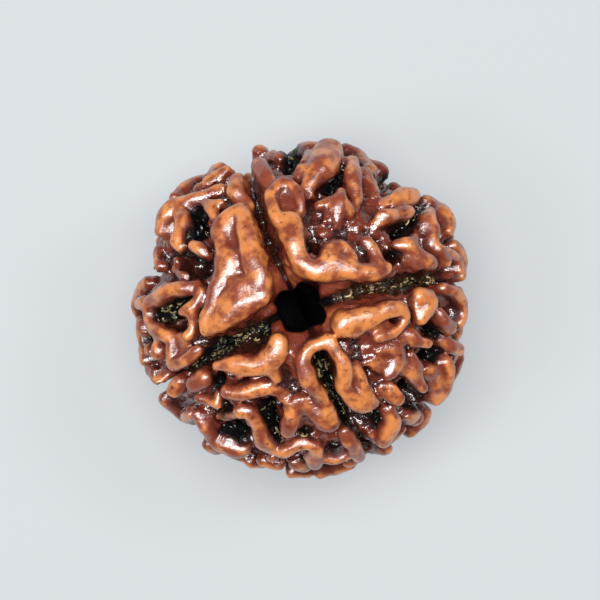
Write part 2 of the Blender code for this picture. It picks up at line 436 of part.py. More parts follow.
def stations_of(ridge):
    """Evenly spaced (place, half width, depth) stations along a ridge, with two round ends."""
    places = [Vector(place) for place, _, _ in ridge]
    halves = [half for _, half, _ in ridge]
    depths = [depth for _, _, depth in ridge]
    length = sum((b - a).length for a, b in zip(places, places[1:]))
    steps = max(2, round(length / ROUTE_STEP))
    body = []
    for i in range(steps + 1):
        along = i * (len(places) - 1) / steps
        depth = curve_value(depths, along)
        place = at_depth(curve_value(places, along), depth)
        body.append((place, max(0.12, curve_value(halves, along)), depth))
    head = [end_station(body[0], body[1], share) for share in reversed(END_SHARES)]
    tail = [end_station(body[-1], body[-2], share) for share in END_SHARES]
    return head + body + tail


def end_station(last, neighbour, share):
    """A station past a ridge's last one, at this share of its half width, narrower and lower."""
    place, half, depth = last
    onward = (place - neighbour[0]).normalized()
    narrowed = half * math.sqrt(1.0 - share * share)
    return at_depth(place + onward * half * share, depth + 0.8 * (half - narrowed)), narrowed, depth


def section(half, wall):
    """A ridge's section as (across, up) points: a round crest on a narrower neck."""
    right = [
        (0.5 * half, -0.1 * half),
        (0.86 * half, -0.42 * half),
        (1.0 * half, -0.95 * half),
        (0.92 * half, -0.5 * half - 0.35 * wall),
        (0.85 * half, -0.3 * half - 0.6 * wall),
        (0.85 * half, -wall),
    ]
    return [(0.0, 0.0)] + right + [(-across, up) for across, up in reversed(right)]


def ridge_mesh(ridge):
    """A closed mesh of one ridge: its section, extruded from station to station."""
    stations = stations_of(ridge)
    bm = bmesh.new()
    cap = None
    for i, (place, half, depth) in enumerate(stations):
        before, after = stations[max(i - 1, 0)][0], stations[min(i + 1, len(stations) - 1)][0]
        up = outward(place)
        side = (after - before).cross(up).normalized()
        wall = FLOOR_DEPTH + ROOT_DEPTH - depth
        points = [place + side * across + up * height for across, height in section(half, wall)]
        if cap is None:
            cap = bm.faces.new([bm.verts.new(point) for point in points])
            continue
        made = bmesh.ops.extrude_face_region(bm, geom=[cap])["geom"]
        cap = [item for item in made if isinstance(item, bmesh.types.BMFace)][0]
        for vert, point in zip(cap.verts, points):
            vert.co = point
    bmesh.ops.recalc_face_normals(bm, faces=bm.faces)
    mesh = bpy.data.meshes.new("ridge")
    bm.to_mesh(mesh)
    bm.free()
    return mesh


def body_profile():
    """The turned body's outline as (across, height) points, down the outside and back up the bore."""
    points = []
    first = math.asin(BORE_MOUTH_RADIUS / (CREST_RADIUS - FLOOR_DEPTH))
    for i in range(OUTSIDE_STEPS + 1):
        tilt = first + (math.pi - 2 * first) * i / OUTSIDE_STEPS
        points.append(((CREST_RADIUS - FLOOR_DEPTH) * math.sin(tilt),
                       (CREST_HALF_HEIGHT - FLOOR_DEPTH) * math.cos(tilt)))
    for i in range(BORE_STEPS + 1):
        share = 2.0 * i / BORE_STEPS - 1.0
        waist = BORE_WAIST_RADIUS + (BORE_MOUTH_RADIUS - BORE_WAIST_RADIUS) * 0.6 * share**4
        points.append((waist, BORE_REACH * share))
    return points


def smooth_step(values, low, high):
    """Rises smoothly from 0 at low to 1 at high."""
    share = np.clip((values - low) / (high - low), 0.0, 1.0)
    return share * share * (3.0 - 2.0 * share)


def seam_offsets(places):
    """Distances over the surface to the nearest seam, which bends a little on its way down."""
    across = np.hypot(places[:, 0], places[:, 1])
    azimuth = np.degrees(np.arctan2(places[:, 1], places[:, 0]))
    polar = np.degrees(np.arctan2(across / CREST_RADIUS, places[:, 2] / CREST_HALF_HEIGHT))
    folded = np.minimum(polar, 180.0 - polar)
    nearest = np.full(len(places), 99.0)
    for bends in SEAM_BENDS:
        seam = np.interp(folded, SEAM_BEND_POLARS, bends)
        turn = np.radians((azimuth - seam + 180.0) % 360.0 - 180.0)
        nearest = np.minimum(nearest, np.abs(turn) * across)
    return nearest


def pit_routes():
    """Every pit, as points on the crest above it and its radius."""
    routes = [([by_angles(*place) for place in route], radius) for route, radius in PITS_WAIST]
    for lower in (False, True):
        for route, radius in PITS:
            seen = [by_view(x, y, PIT_SIGHT, lower) for x, y in route]
            routes.append(([at_depth(point, 0.0) for point in seen], radius))
    return routes


def pit_share(places):
    """How far each place, or the crest above it, is over a pit, from 0 outside to 1 in its middle."""
    found = np.zeros(len(places))
    places = np.array([at_depth(Vector(place), 0.0) for place in places])
    for route, radius in pit_routes():
        points = [np.array(point) for point in route]
        for a, b in list(zip(points, points[1:])) or [(points[0], points[0])]:
            along = np.clip((places - a) @ (b - a) / max((b - a) @ (b - a), 1e-9), 0.0, 1.0)
            distance = np.linalg.norm(places - a - along[:, None] * (b - a), axis=1)
            found = np.maximum(found, smooth_step(radius + PIT_MARGIN - distance, 0.0, PIT_SLOPE))
    return found


def slopes(places, taken):
    """How far the floor rises at each place towards the ridges near it."""
    tree = KDTree(len(taken))
    for i, (point, _, _) in enumerate(taken):
        tree.insert(at_depth(point, FLOOR_DEPTH), i)
    tree.balance()
    rises = np.zeros(len(places))
    near = [tree.find_n(place, 4) for place in places]
    for k in range(4):
        ids = [found[k][1] for found in near]
        distance = np.array([found[k][2] for found in near]) - np.array([taken[i][1] for i in ids])
        top = FLOOR_DEPTH - SLOPE_TOP - np.array([taken[i][2] for i in ids])
        rises = np.maximum(rises, top * (1.0 - smooth_step(distance, 0.0, SLOPE_REACH)))
    return rises


def uneven(place, size, seed):
    """A soft random height between -1 and 1 for a place, with bumps of about this size."""
    return noise.noise(Vector(place) / size + Vector((seed, 0.0, 0.0)))


def floor_hollows(places, taken):
    """How far below the plain floor each place lies: seams, collar, pits, slopes and an uneven surface."""
    offset = seam_offsets(places)
    across = np.hypot(places[:, 0], places[:, 1])
    pit = pit_share(places)
    depth = SEAM_DEPTH * np.exp(-((offset / SEAM_HALF_WIDTH) ** 2))
    depth *= np.clip((across - BORE_MOUTH_RADIUS) / SEAM_RUN_IN, SEAM_LEAST, 1.0)
    depth += CRACK_DEPTH * np.exp(-((offset / CRACK_HALF_WIDTH) ** 2))
    depth += COLLAR_DEPTH * np.clip(1.0 - (across - BORE_MOUTH_RADIUS) / COLLAR_REACH, 0.0, 1.0)
    depth += PIT_DEPTH * pit
    depth += [FLOOR_UNEVEN * uneven(place, FLOOR_BUMP, 3.0) for place in places]
    open_floor = (1.0 - pit) * (1.0 - np.exp(-((offset / SEAM_HALF_WIDTH) ** 2)))
    return np.minimum(depth, MOST_FLOOR_DEPTH) - slopes(places, taken) * open_floor


def on_outside(place):
    """Whether a place lies on the plain body's outside, and not in its bore."""
    radius, half_height = CREST_RADIUS - FLOOR_DEPTH, CREST_HALF_HEIGHT - FLOOR_DEPTH
    return Vector((place.x / radius, place.y / radius, place.z / half_height)).length > 0.999


def turned_body(taken):
    """The nut without its ridges: a spun profile with its surface set by formula, and a wavering bore."""
    bm = bmesh.new()
    verts = [bm.verts.new((across, 0.0, height)) for across, height in body_profile()]
    edges = [bm.edges.new((a, b)) for a, b in zip(verts, verts[1:] + verts[:1])]
    bmesh.ops.spin(bm, geom=verts + edges, cent=(0, 0, 0), axis=(0, 0, 1), angle=2 * math.pi,
                   steps=TURN_STEPS, use_merge=True)
    bmesh.ops.recalc_face_normals(bm, faces=bm.faces)
    mesh = bpy.data.meshes.new("body")
    bm.to_mesh(mesh)
    bm.free()
    places = np.array([vert.co for vert in mesh.vertices], dtype=float)
    rim_turns, rim_extras = zip(*BORE_RIM)
    for vert, deep in zip(mesh.vertices, floor_hollows(places, taken)):
        azimuth = math.degrees(math.atan2(vert.co.y, vert.co.x)) % 360.0
        wide = float(np.interp(azimuth, rim_turns, rim_extras))
        outside = on_outside(vert.co)
        if outside:
            wide *= math.exp((BORE_MOUTH_RADIUS - math.hypot(vert.co.x, vert.co.y)) / MOUTH_REACH)
            vert.co = at_depth(vert.co, FLOOR_DEPTH + deep)
        vert.co += Vector((vert.co.x, vert.co.y, 0.0)).normalized() * wide
        if not outside:
            vert.co.x += BORE_WAVER * math.sin(math.pi * vert.co.z / BORE_REACH)
    return mesh


def with_modifiers_applied(obj):
    """Makes the object's mesh what its modifiers give, and takes them off."""
    graph = bpy.context.evaluated_depsgraph_get()
    mesh = bpy.data.meshes.new_from_object(obj.evaluated_get(graph))
    obj.modifiers.clear()
    obj.data = mesh


def fuse(obj):
    """Makes one skin of the overlapping body and ridges, and eases it."""
    remesh = obj.modifiers.new("one skin", "REMESH")
    remesh.mode = "VOXEL"
    remesh.voxel_size = VOXEL
    easing = obj.modifiers.new("easing", "SMOOTH")
    easing.factor = 0.5
    easing.iterations = EASING_ROUNDS
    with_modifiers_applied(obj)


def roughen(mesh):
    """Gives the skin the small lumps of the woody surface."""
    for vert, normal in zip(mesh.vertices, [vert.normal.copy() for vert in mesh.vertices]):
        vert.co += normal * (LUMP_HEIGHT * uneven(vert.co, LUMP_SIZE, 11.0))
    mesh.update()


def thin_out(obj):
    """Brings the skin down to its number of triangles."""
    triangulate = obj.modifiers.new("triangles", "TRIANGULATE")
    triangulate.keep_custom_normals = False
    thinning = obj.modifiers.new("fewer triangles", "DECIMATE")
    thinning.ratio = TRIANGLES / (2.0 * len(obj.data.polygons))
    with_modifiers_applied(obj)


def cut_flat(obj):
    """Cuts the lowest ridges off level, as the small flat feet that the seed rests on."""
    bm = bmesh.new()
    bmesh.ops.create_cube(bm, size=2.0 * CREST_RADIUS)
    bmesh.ops.translate(bm, verts=bm.verts, vec=(0.0, 0.0, -REST_HEIGHT - CREST_RADIUS))
    mesh = bpy.data.meshes.new("below")
    bm.to_mesh(mesh)
    bm.free()
    below = bpy.data.objects.new("below", mesh)
    bpy.context.collection.objects.link(below)
    cut = obj.modifiers.new("flat feet", "BOOLEAN")
    cut.operation = "DIFFERENCE"
    cut.object = below
    with_modifiers_applied(obj)
    bpy.data.objects.remove(below)


def foot_of(mesh):
    """The middle of the underside of the mesh's box."""
    corners = [[pick(vert.co[axis] for vert in mesh.vertices) for axis in range(3)] for pick in (min, max)]
    middle = (Vector(corners[0]) + Vector(corners[1])) / 2
    return Vector((middle.x, middle.y, corners[0][2]))


def seed_material():
    """Oiled wood: warm orange-brown and glossy."""
    material = bpy.data.materials.new("oiled_nut")
    material.use_nodes = True
    shader = material.node_tree.nodes["Principled BSDF"]
    shader.inputs["Base Color"].default_value = (0.42, 0.13, 0.035, 1.0)
    shader.inputs["Roughness"].default_value = 0.3
    shader.inputs["Metallic"].default_value = 0.0
    material.diffuse_color = (0.42, 0.13, 0.035, 1.0)
    return material


def make_seed():
    """The whole nut as one object, standing on its flat feet."""
    bm = bmesh.new()
    ridges = every_ridge()
    bm.from_mesh(turned_body(places_taken(ridges)))
    for ridge in ridges:
        bm.from_mesh(ridge_mesh(ridge))
    mesh = bpy.data.meshes.new("rudraksha_seed")
    bm.to_mesh(mesh)
    bm.free()
    seed = bpy.data.objects.new("rudraksha_seed", mesh)
    bpy.context.collection.objects.link(seed)
    fuse(seed)
    roughen(seed.data)
    thin_out(seed)
    cut_flat(seed)
    seed.data.transform(Matrix.Scale(MM, 4) @ Matrix.Translation(-foot_of(seed.data)))
    seed.data.materials.clear()
    seed.data.materials.append(seed_material())
    seed.data.shade_smooth()


def main():
    """Clears the scene and makes the seed."""
    for obj in list(bpy.data.objects):
        bpy.data.objects.remove(obj)
    make_seed()


main()
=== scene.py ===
"""Dresses a rudraksha nut with four faces: its oiled, ridged skin and the dried residue in its pits.

The nut is made in millimetres round its own middle and is scaled to metres when it is done. Its body is
turned from a profile, each ridge is a section extruded along its own route, and all is fused into one skin.
"""

import logging
import math
import random
from dataclasses import dataclass, field
from enum import Enum

import bmesh
import bpy
import numpy as np
from mathutils import Matrix, Vector, noise
from mathutils.kdtree import KDTree


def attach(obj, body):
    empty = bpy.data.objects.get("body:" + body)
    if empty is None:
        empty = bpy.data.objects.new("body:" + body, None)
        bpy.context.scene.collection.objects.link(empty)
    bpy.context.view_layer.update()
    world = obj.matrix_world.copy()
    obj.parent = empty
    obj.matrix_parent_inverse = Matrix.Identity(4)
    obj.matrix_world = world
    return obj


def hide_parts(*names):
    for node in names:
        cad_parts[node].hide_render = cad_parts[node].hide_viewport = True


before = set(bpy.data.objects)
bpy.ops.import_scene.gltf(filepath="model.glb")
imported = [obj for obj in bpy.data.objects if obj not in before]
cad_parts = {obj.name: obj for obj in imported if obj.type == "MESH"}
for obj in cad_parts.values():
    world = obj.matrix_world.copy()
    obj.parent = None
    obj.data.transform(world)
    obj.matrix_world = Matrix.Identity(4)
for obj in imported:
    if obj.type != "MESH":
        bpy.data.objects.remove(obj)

LOG = logging.getLogger("rudraksha")
MM = 0.001
NODE = "rudraksha_seed"
BODY = "root"
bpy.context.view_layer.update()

SWELL_SEED = 3.0
LUMP_SEED = 11.0
CRINKLE_SEED = 23.0
TONE_SEED = 41.0

Rows = list[tuple[float, float, float, float]]
Station = tuple[Vector, float, float]


# Ridges as seen from above, each with points (x, y, half width, depth of the crest below the ridges' tops)
RIDGES_NORTH = [
    # the bent ridge beside the bore
    [(-0.8, 5.7, 0.75, 0.1), (-0.6, 4.8, 0.75, 0.0), (-0.3, 3.8, 0.55, 0.0), (0.1, 2.9, 0.6, 0.05),
     (0.8, 2.45, 0.55, 0.1), (1.7, 2.65, 0.75, 0.0), (2.6, 2.7, 0.75, 0.0), (3.6, 2.35, 0.55, 0.05),
     (4.6, 2.35, 0.6, 0.05), (5.5, 2.5, 0.42, 0.15)],
    [(1.7, 3.1, 0.5, 0.1), (2.2, 3.8, 0.55, 0.15), (2.9, 3.7, 0.4, 0.3), (3.3, 3.2, 0.35, 0.2)],
    [(4.2, 4.3, 0.3, 0.45), (4.6, 4.0, 0.32, 0.4), (4.9, 3.4, 0.35, 0.3), (5.1, 2.8, 0.4, 0.15)],
    # the hollow plate above it
    [(-1.4, 5.6, 0.4, 0.15), (-1.85, 6.6, 0.38, 0.1), (-2.0, 7.4, 0.4, 0.0), (-1.1, 8.15, 0.42, 0.0),
     (-0.35, 7.6, 0.38, 0.1), (-0.1, 6.8, 0.3, 0.25), (0.0, 6.2, 0.25, 0.45)],
    [(-1.4, 7.3, 0.5, 0.5), (-0.9, 6.6, 0.5, 0.6)],
    # the long knob at the rim, with its shoulder
    [(1.9, 10.75, 0.85, -0.45), (1.45, 9.6, 0.85, -0.3), (0.8, 8.8, 0.6, 0.0), (0.5, 8.0, 0.5, 0.3),
     (0.6, 7.3, 0.42, 0.7)],
    [(0.6, 8.9, 0.4, 0.2), (-0.1, 9.0, 0.38, 0.1), (-0.25, 8.4, 0.3, 0.5)],
    # the finger left of it
    [(-2.75, 9.5, 0.5, 0.0), (-2.4, 8.7, 0.5, 0.05), (-1.9, 7.9, 0.42, 0.4)],
    # the wrinkled ridge right of the deep pit
    [(3.4, 9.7, 0.42, 0.15), (3.5, 8.7, 0.48, 0.1), (3.6, 7.8, 0.45, 0.3), (3.65, 6.9, 0.38, 0.7),
     (3.5, 6.1, 0.3, 1.0)],
    # the star
    [(2.65, 7.55, 0.3, 0.2), (2.5, 6.9, 0.55, 0.2), (2.3, 6.2, 0.5, 0.5), (2.4, 5.4, 0.42, 0.9)],
    [(2.4, 7.0, 0.4, 0.3), (1.75, 6.8, 0.4, 0.5), (1.2, 6.5, 0.32, 0.8)],
    [(2.6, 7.0, 0.4, 0.35), (3.1, 6.5, 0.36, 0.55), (3.1, 5.8, 0.3, 0.95)],
    [(4.3, 8.9, 0.4, 0.5), (4.6, 8.0, 0.4, 0.6), (4.8, 7.2, 0.4, 0.8)],
    [(1.6, 6.2, 0.22, 0.95), (1.6, 5.5, 0.22, 1.0)],
    # low webs between them
    [(0.9, 5.6, 0.5, 1.5), (1.5, 4.8, 0.5, 1.4)],
    [(3.2, 5.2, 0.5, 1.3), (3.9, 5.3, 0.55, 1.3), (4.6, 6.2, 0.5, 1.2), (4.7, 7.2, 0.45, 1.0)],
    [(4.5, 5.0, 0.4, 1.2), (5.4, 4.5, 0.4, 1.25)],
    # the two-lobed ridge and the knob behind it
    [(4.95, 5.3, 0.35, 0.7), (5.45, 6.0, 0.48, 0.1), (6.2, 6.1, 0.4, 0.15), (7.1, 6.35, 0.38, 0.05)],
    [(5.2, 6.7, 0.35, 0.7), (6.0, 7.0, 0.42, 0.35), (6.9, 7.4, 0.6, 0.0), (7.5, 7.55, 0.5, -0.1)],
    # the upright ridge at the east, and the three-armed one
    [(8.6, 6.35, 0.35, 0.0), (8.5, 5.7, 0.5, 0.0), (8.8, 5.0, 0.5, 0.0), (8.7, 4.3, 0.4, 0.2),
     (8.6, 3.8, 0.32, 0.5)],
    [(6.2, 4.1, 0.32, 0.4), (6.9, 4.15, 0.46, 0.05), (7.5, 3.8, 0.46, 0.1), (8.0, 3.2, 0.52, 0.0),
     (8.6, 2.9, 0.38, 0.05)],
    [(7.3, 4.1, 0.3, 0.1), (7.45, 4.55, 0.24, 0.1)],
    [(7.1, 3.3, 0.45, 0.4), (7.6, 2.8, 0.42, 0.4)],
    [(9.1, 3.8, 0.3, 0.1), (9.6, 3.0, 0.42, 0.2)],
    [(8.9, 6.9, 0.36, 0.1), (9.5, 6.35, 0.42, -0.35), (9.9, 5.7, 0.42, -0.45), (9.8, 5.0, 0.38, -0.2)],
    [(9.5, 3.7, 0.32, 0.1), (10.05, 3.45, 0.36, 0.0), (10.5, 3.0, 0.36, -0.1), (10.5, 2.45, 0.32, 0.0)],
]
RIDGES_WEST = [
    # the long leg beside the seam, and the broad foot
    [(-4.0, 6.4, 0.5, 0.05), (-3.7, 5.6, 0.55, 0.0), (-3.5, 4.6, 0.62, 0.0), (-3.3, 3.5, 0.66, 0.0),
     (-3.0, 2.4, 0.68, 0.0), (-2.7, 1.4, 0.65, 0.05), (-2.4, 0.9, 0.45, 0.3)],
    [(-2.6, 0.7, 0.5, 0.2), (-3.4, 0.4, 0.75, 0.05), (-4.2, 0.1, 0.95, 0.0), (-5.1, -0.6, 0.8, 0.0),
     (-5.95, -1.35, 0.5, 0.1)],
    [(-3.5, 1.5, 0.6, 0.1), (-4.2, 0.9, 0.7, 0.05), (-4.9, 0.3, 0.6, 0.1)],
    # the lumpy leg at its left
    [(-4.0, 6.5, 0.4, 0.1), (-4.7, 5.9, 0.55, 0.1), (-5.4, 5.1, 0.68, 0.05), (-5.15, 4.1, 0.5, 0.25),
     (-4.95, 3.0, 0.78, 0.0), (-5.2, 2.1, 0.55, 0.2), (-5.55, 1.1, 0.5, 0.2), (-5.85, 0.1, 0.5, 0.15),
     (-6.2, -0.8, 0.42, 0.1), (-6.2, -1.5, 0.42, 0.1)],
    [(-4.4, 5.1, 0.42, 0.45), (-4.25, 3.8, 0.42, 0.65), (-4.1, 2.6, 0.45, 0.6), (-4.4, 1.6, 0.45, 0.35)],
    # the small forked ridge above
    [(-6.35, 6.85, 0.25, 0.35), (-5.9, 6.7, 0.3, 0.35), (-5.2, 6.75, 0.22, 0.4)],
    [(-6.1, 6.7, 0.28, 0.35), (-5.8, 6.2, 0.34, 0.3), (-5.7, 5.8, 0.3, 0.5)],
    # the finger beside the seam at the rim
    [(-4.25, 8.35, 0.5, 0.0), (-4.3, 7.7, 0.5, 0.0), (-3.9, 7.1, 0.38, 0.4), (-3.5, 6.6, 0.3, 0.7)],
    # the hand at the rim
    [(-5.2, 7.8, 0.34, 0.7), (-6.3, 7.45, 0.34, 0.4), (-7.4, 7.1, 0.45, 0.0), (-8.5, 6.75, 0.56, -0.4),
     (-9.2, 6.0, 0.58, -0.5), (-9.3, 5.1, 0.45, -0.1)],
    [(-8.0, 6.6, 0.4, 0.1), (-7.9, 5.8, 0.46, 0.05), (-8.0, 5.0, 0.4, 0.1), (-8.2, 4.35, 0.5, 0.0),
     (-7.9, 4.0, 0.4, 0.2)],
    [(-7.05, 4.05, 0.36, 0.3), (-6.6, 3.75, 0.38, 0.35), (-6.15, 3.3, 0.32, 0.7)],
    [(-8.1, 3.1, 0.25, 1.0), (-8.1, 2.4, 0.25, 1.0), (-7.6, 1.9, 0.28, 1.0)],
    # the ring round the western pit
    [(-6.7, 1.35, 0.34, 0.6), (-7.6, 1.2, 0.42, 0.25), (-8.6, 1.15, 0.48, 0.0), (-9.4, 0.75, 0.46, 0.0),
     (-10.1, 0.1, 0.4, 0.0), (-10.0, -0.7, 0.34, 0.1), (-9.85, -1.4, 0.36, 0.0), (-9.2, -1.8, 0.46, 0.0),
     (-8.5, -2.0, 0.42, 0.25)],
    [(-9.3, -1.9, 0.36, 0.1), (-9.45, -2.5, 0.32, 0.15), (-9.5, -3.1, 0.4, 0.0)],
    [(-6.5, 1.1, 0.3, 0.5), (-6.8, 0.4, 0.34, 0.3), (-7.3, -0.15, 0.34, 0.1), (-7.75, -0.35, 0.26, 0.1)],
    [(-7.2, -0.2, 0.32, 0.25), (-7.0, -0.9, 0.34, 0.35), (-7.1, -1.5, 0.3, 0.3), (-7.45, -1.85, 0.3, 0.05)],
    [(-8.3, -3.8, 0.32, 0.05), (-7.6, -3.45, 0.36, 0.05), (-6.9, -2.95, 0.34, 0.15),
     (-6.6, -2.75, 0.22, 0.3)],
    [(-8.4, -3.7, 0.34, 0.1), (-8.5, -2.8, 0.34, 0.15), (-8.1, -2.1, 0.36, 0.4), (-7.4, -2.2, 0.34, 0.5)],
    [(-7.9, -3.0, 0.45, 0.45), (-7.6, -2.6, 0.4, 0.5)],
]
RIDGES_SOUTH = [
    # the long ridge beside the seam
    [(-5.5, -3.85, 0.3, 0.2), (-4.7, -3.8, 0.48, 0.05), (-3.8, -3.95, 0.66, 0.0), (-2.9, -3.85, 0.6, 0.05),
     (-2.1, -3.5, 0.74, 0.0), (-1.65, -2.9, 0.62, 0.0), (-1.5, -2.2, 0.5, 0.2)],
    [(-3.9, -4.2, 0.4, 0.15), (-3.95, -4.5, 0.22, 0.3)],
    [(-1.9, -3.9, 0.4, 0.15), (-1.6, -4.6, 0.3, 0.5)],
    # the flat ridge below it
    [(-4.8, -5.6, 0.45, 0.1), (-4.0, -5.65, 0.45, 0.2), (-3.0, -5.4, 0.52, 0.25), (-2.2, -5.3, 0.46, 0.4),
     (-1.4, -5.4, 0.42, 0.7), (-0.9, -5.9, 0.45, 0.8)],
    # the egg and the plate at its foot
    [(-7.1, -5.05, 0.5, 0.0), (-6.5, -4.8, 0.55, 0.05)],
    [(-6.65, -5.95, 0.28, 0.2), (-6.0, -6.15, 0.36, 0.2), (-5.5, -6.35, 0.3, 0.1)],
    [(-5.5, -6.2, 0.28, 0.25), (-5.45, -5.6, 0.26, 0.5), (-5.6, -5.1, 0.2, 0.9)],
    [(-6.0, -5.8, 0.4, 0.6), (-5.8, -5.5, 0.35, 0.8)],
    [(-9.5, -4.8, 0.42, -0.2), (-9.0, -4.35, 0.36, 0.4)],
    [(-8.5, -5.6, 0.46, -0.1), (-8.05, -4.95, 0.42, 0.3)],
    # the hooked ridge round the south-western pit
    [(-4.0, -6.85, 0.46, 0.05), (-3.35, -6.95, 0.34, 0.2), (-3.0, -7.6, 0.4, 0.2), (-2.75, -8.4, 0.46, 0.05),
     (-2.4, -9.1, 0.52, 0.0), (-1.7, -9.5, 0.4, 0.1), (-1.0, -9.5, 0.38, 0.0), (-0.3, -9.1, 0.34, 0.1),
     (0.5, -9.0, 0.3, 0.2), (1.05, -9.3, 0.36, 0.1)],
    [(1.05, -9.4, 0.42, 0.05), (1.0, -10.0, 0.58, 0.0), (0.95, -10.4, 0.5, 0.0)],
    [(-6.9, -7.1, 0.34, 0.2), (-6.35, -8.0, 0.4, 0.0), (-5.9, -8.8, 0.44, 0.0), (-5.1, -9.2, 0.44, 0.0),
     (-4.4, -9.6, 0.5, 0.0), (-3.7, -9.4, 0.3, 0.3)],
    [(-5.3, -7.1, 0.28, 0.9), (-4.7, -7.1, 0.28, 0.8), (-4.2, -7.0, 0.3, 0.4)],
    # the forked foot
    [(-0.2, -6.2, 0.55, 0.5), (-0.5, -7.0, 0.55, 0.3), (-0.75, -7.7, 0.5, 0.1), (-0.9, -8.3, 0.46, 0.0)],
    [(-0.2, -6.2, 0.55, 0.5), (0.4, -6.5, 0.55, 0.4), (1.0, -7.0, 0.56, 0.2), (1.5, -7.6, 0.58, 0.05)],
    # the western leg of the arch
    [(1.2, -2.35, 0.36, 0.4), (0.55, -2.8, 0.38, 0.3), (0.2, -3.5, 0.42, 0.1), (0.25, -4.3, 0.5, 0.0),
     (0.6, -5.0, 0.5, 0.0), (1.1, -5.6, 0.42, 0.1), (1.5, -6.3, 0.42, 0.3), (1.8, -7.1, 0.52, 0.2),
     (2.05, -7.75, 0.52, 0.05)],
    # ridges at the southern rim
    [(2.8, -8.1, 0.34, 0.5), (3.15, -8.8, 0.42, 0.1), (3.6, -9.5, 0.42, 0.0), (3.85, -9.95, 0.36, 0.0)],
    [(1.8, -10.0, 0.34, 0.0), (2.5, -9.95, 0.3, 0.0), (3.2, -9.6, 0.32, 0.1)],
]
RIDGES_EAST = [
    # the eastern leg of the arch and its inner twin
    [(1.2, -2.35, 0.36, 0.4), (1.8, -2.3, 0.46, 0.3), (2.3, -3.0, 0.38, 0.2), (2.75, -3.8, 0.42, 0.05),
     (2.85, -4.7, 0.46, 0.0), (3.0, -5.5, 0.48, 0.0), (3.6, -6.2, 0.55, 0.0), (4.3, -6.4, 0.52, 0.0),
     (4.85, -6.3, 0.4, 0.1)],
    [(3.6, -3.8, 0.3, 0.45), (3.9, -4.7, 0.36, 0.3), (4.2, -5.5, 0.42, 0.15), (4.5, -6.1, 0.42, 0.05)],
    # the great head beside the seam, which hooks back round two dimples
    [(3.1, -1.15, 0.85, 0.0), (3.9, -1.0, 0.8, 0.0), (4.9, -0.5, 0.56, 0.05), (5.9, -0.15, 0.5, 0.0),
     (6.6, -0.15, 0.46, 0.0), (6.75, -0.75, 0.32, 0.15), (6.4, -1.35, 0.3, 0.15), (5.8, -1.8, 0.34, 0.1),
     (5.0, -1.95, 0.34, 0.15)],
    [(4.6, -1.3, 0.4, 0.45), (5.5, -1.2, 0.3, 0.6)],
    # the broad knob and the finger past it
    [(8.0, 0.7, 0.55, 0.05), (8.6, 0.55, 0.58, 0.0), (8.3, -0.2, 0.55, 0.0), (8.0, -0.75, 0.42, 0.1)],
    [(7.7, 0.2, 0.5, 0.35), (7.8, -0.4, 0.4, 0.35)],
    [(9.1, -0.3, 0.3, 0.2), (9.45, -0.85, 0.4, 0.0), (9.9, -1.35, 0.45, 0.0)],
    # the ring at the rim
    [(9.4, 1.2, 0.34, 0.3), (10.1, 1.05, 0.34, 0.0), (10.55, 0.4, 0.34, 0.0), (10.65, -0.5, 0.34, 0.0),
     (10.4, -1.1, 0.3, 0.1)],
    [(9.1, -2.25, 0.34, 0.6), (9.8, -2.5, 0.38, 0.1), (10.5, -2.85, 0.4, -0.25)],
    # tips and webs
    [(6.2, -2.3, 0.5, 0.7), (7.0, -1.9, 0.5, 0.4), (7.7, -2.25, 0.4, 0.2), (8.25, -2.4, 0.32, 0.1)],
    [(4.4, -2.6, 0.5, 0.9), (5.4, -2.6, 0.55, 0.7), (6.2, -2.9, 0.6, 0.4), (6.4, -3.5, 0.56, 0.3),
     (6.0, -4.2, 0.42, 0.2), (5.6, -4.5, 0.3, 0.2)],
    [(4.2, -3.1, 0.45, 1.0), (5.0, -3.3, 0.5, 0.8), (5.4, -3.9, 0.4, 0.5), (5.7, -4.4, 0.36, 0.3)],
    [(4.15, -3.5, 0.22, 0.7), (4.6, -3.7, 0.24, 0.65), (4.95, -4.1, 0.24, 0.7)],
    [(6.6, -4.0, 0.46, 0.5), (7.2, -4.2, 0.5, 0.2), (7.65, -4.75, 0.42, 0.1), (8.0, -5.3, 0.28, 0.0)],
    [(7.2, -3.3, 0.42, 0.6), (7.6, -4.1, 0.42, 0.35)],
    [(5.2, -5.3, 0.36, 0.7), (5.8, -5.75, 0.46, 0.35), (6.35, -6.05, 0.4, 0.15)],
    [(5.3, -4.9, 0.3, 1.0), (5.9, -5.3, 0.32, 0.4), (6.45, -5.9, 0.3, 0.15)],
    # the outer ridges of the south-east
    [(8.2, -4.1, 0.4, 0.6), (8.9, -4.5, 0.55, 0.25), (9.15, -5.3, 0.52, 0.0), (8.8, -6.0, 0.42, 0.1)],
    [(9.6, -3.6, 0.34, 0.0), (9.8, -4.5, 0.38, -0.25), (9.6, -5.4, 0.42, -0.3), (9.0, -6.2, 0.38, -0.15)],
    [(5.8, -6.8, 0.4, 0.4), (6.1, -7.5, 0.5, 0.05), (5.9, -8.3, 0.62, -0.1), (5.6, -8.9, 0.5, -0.15)],
]

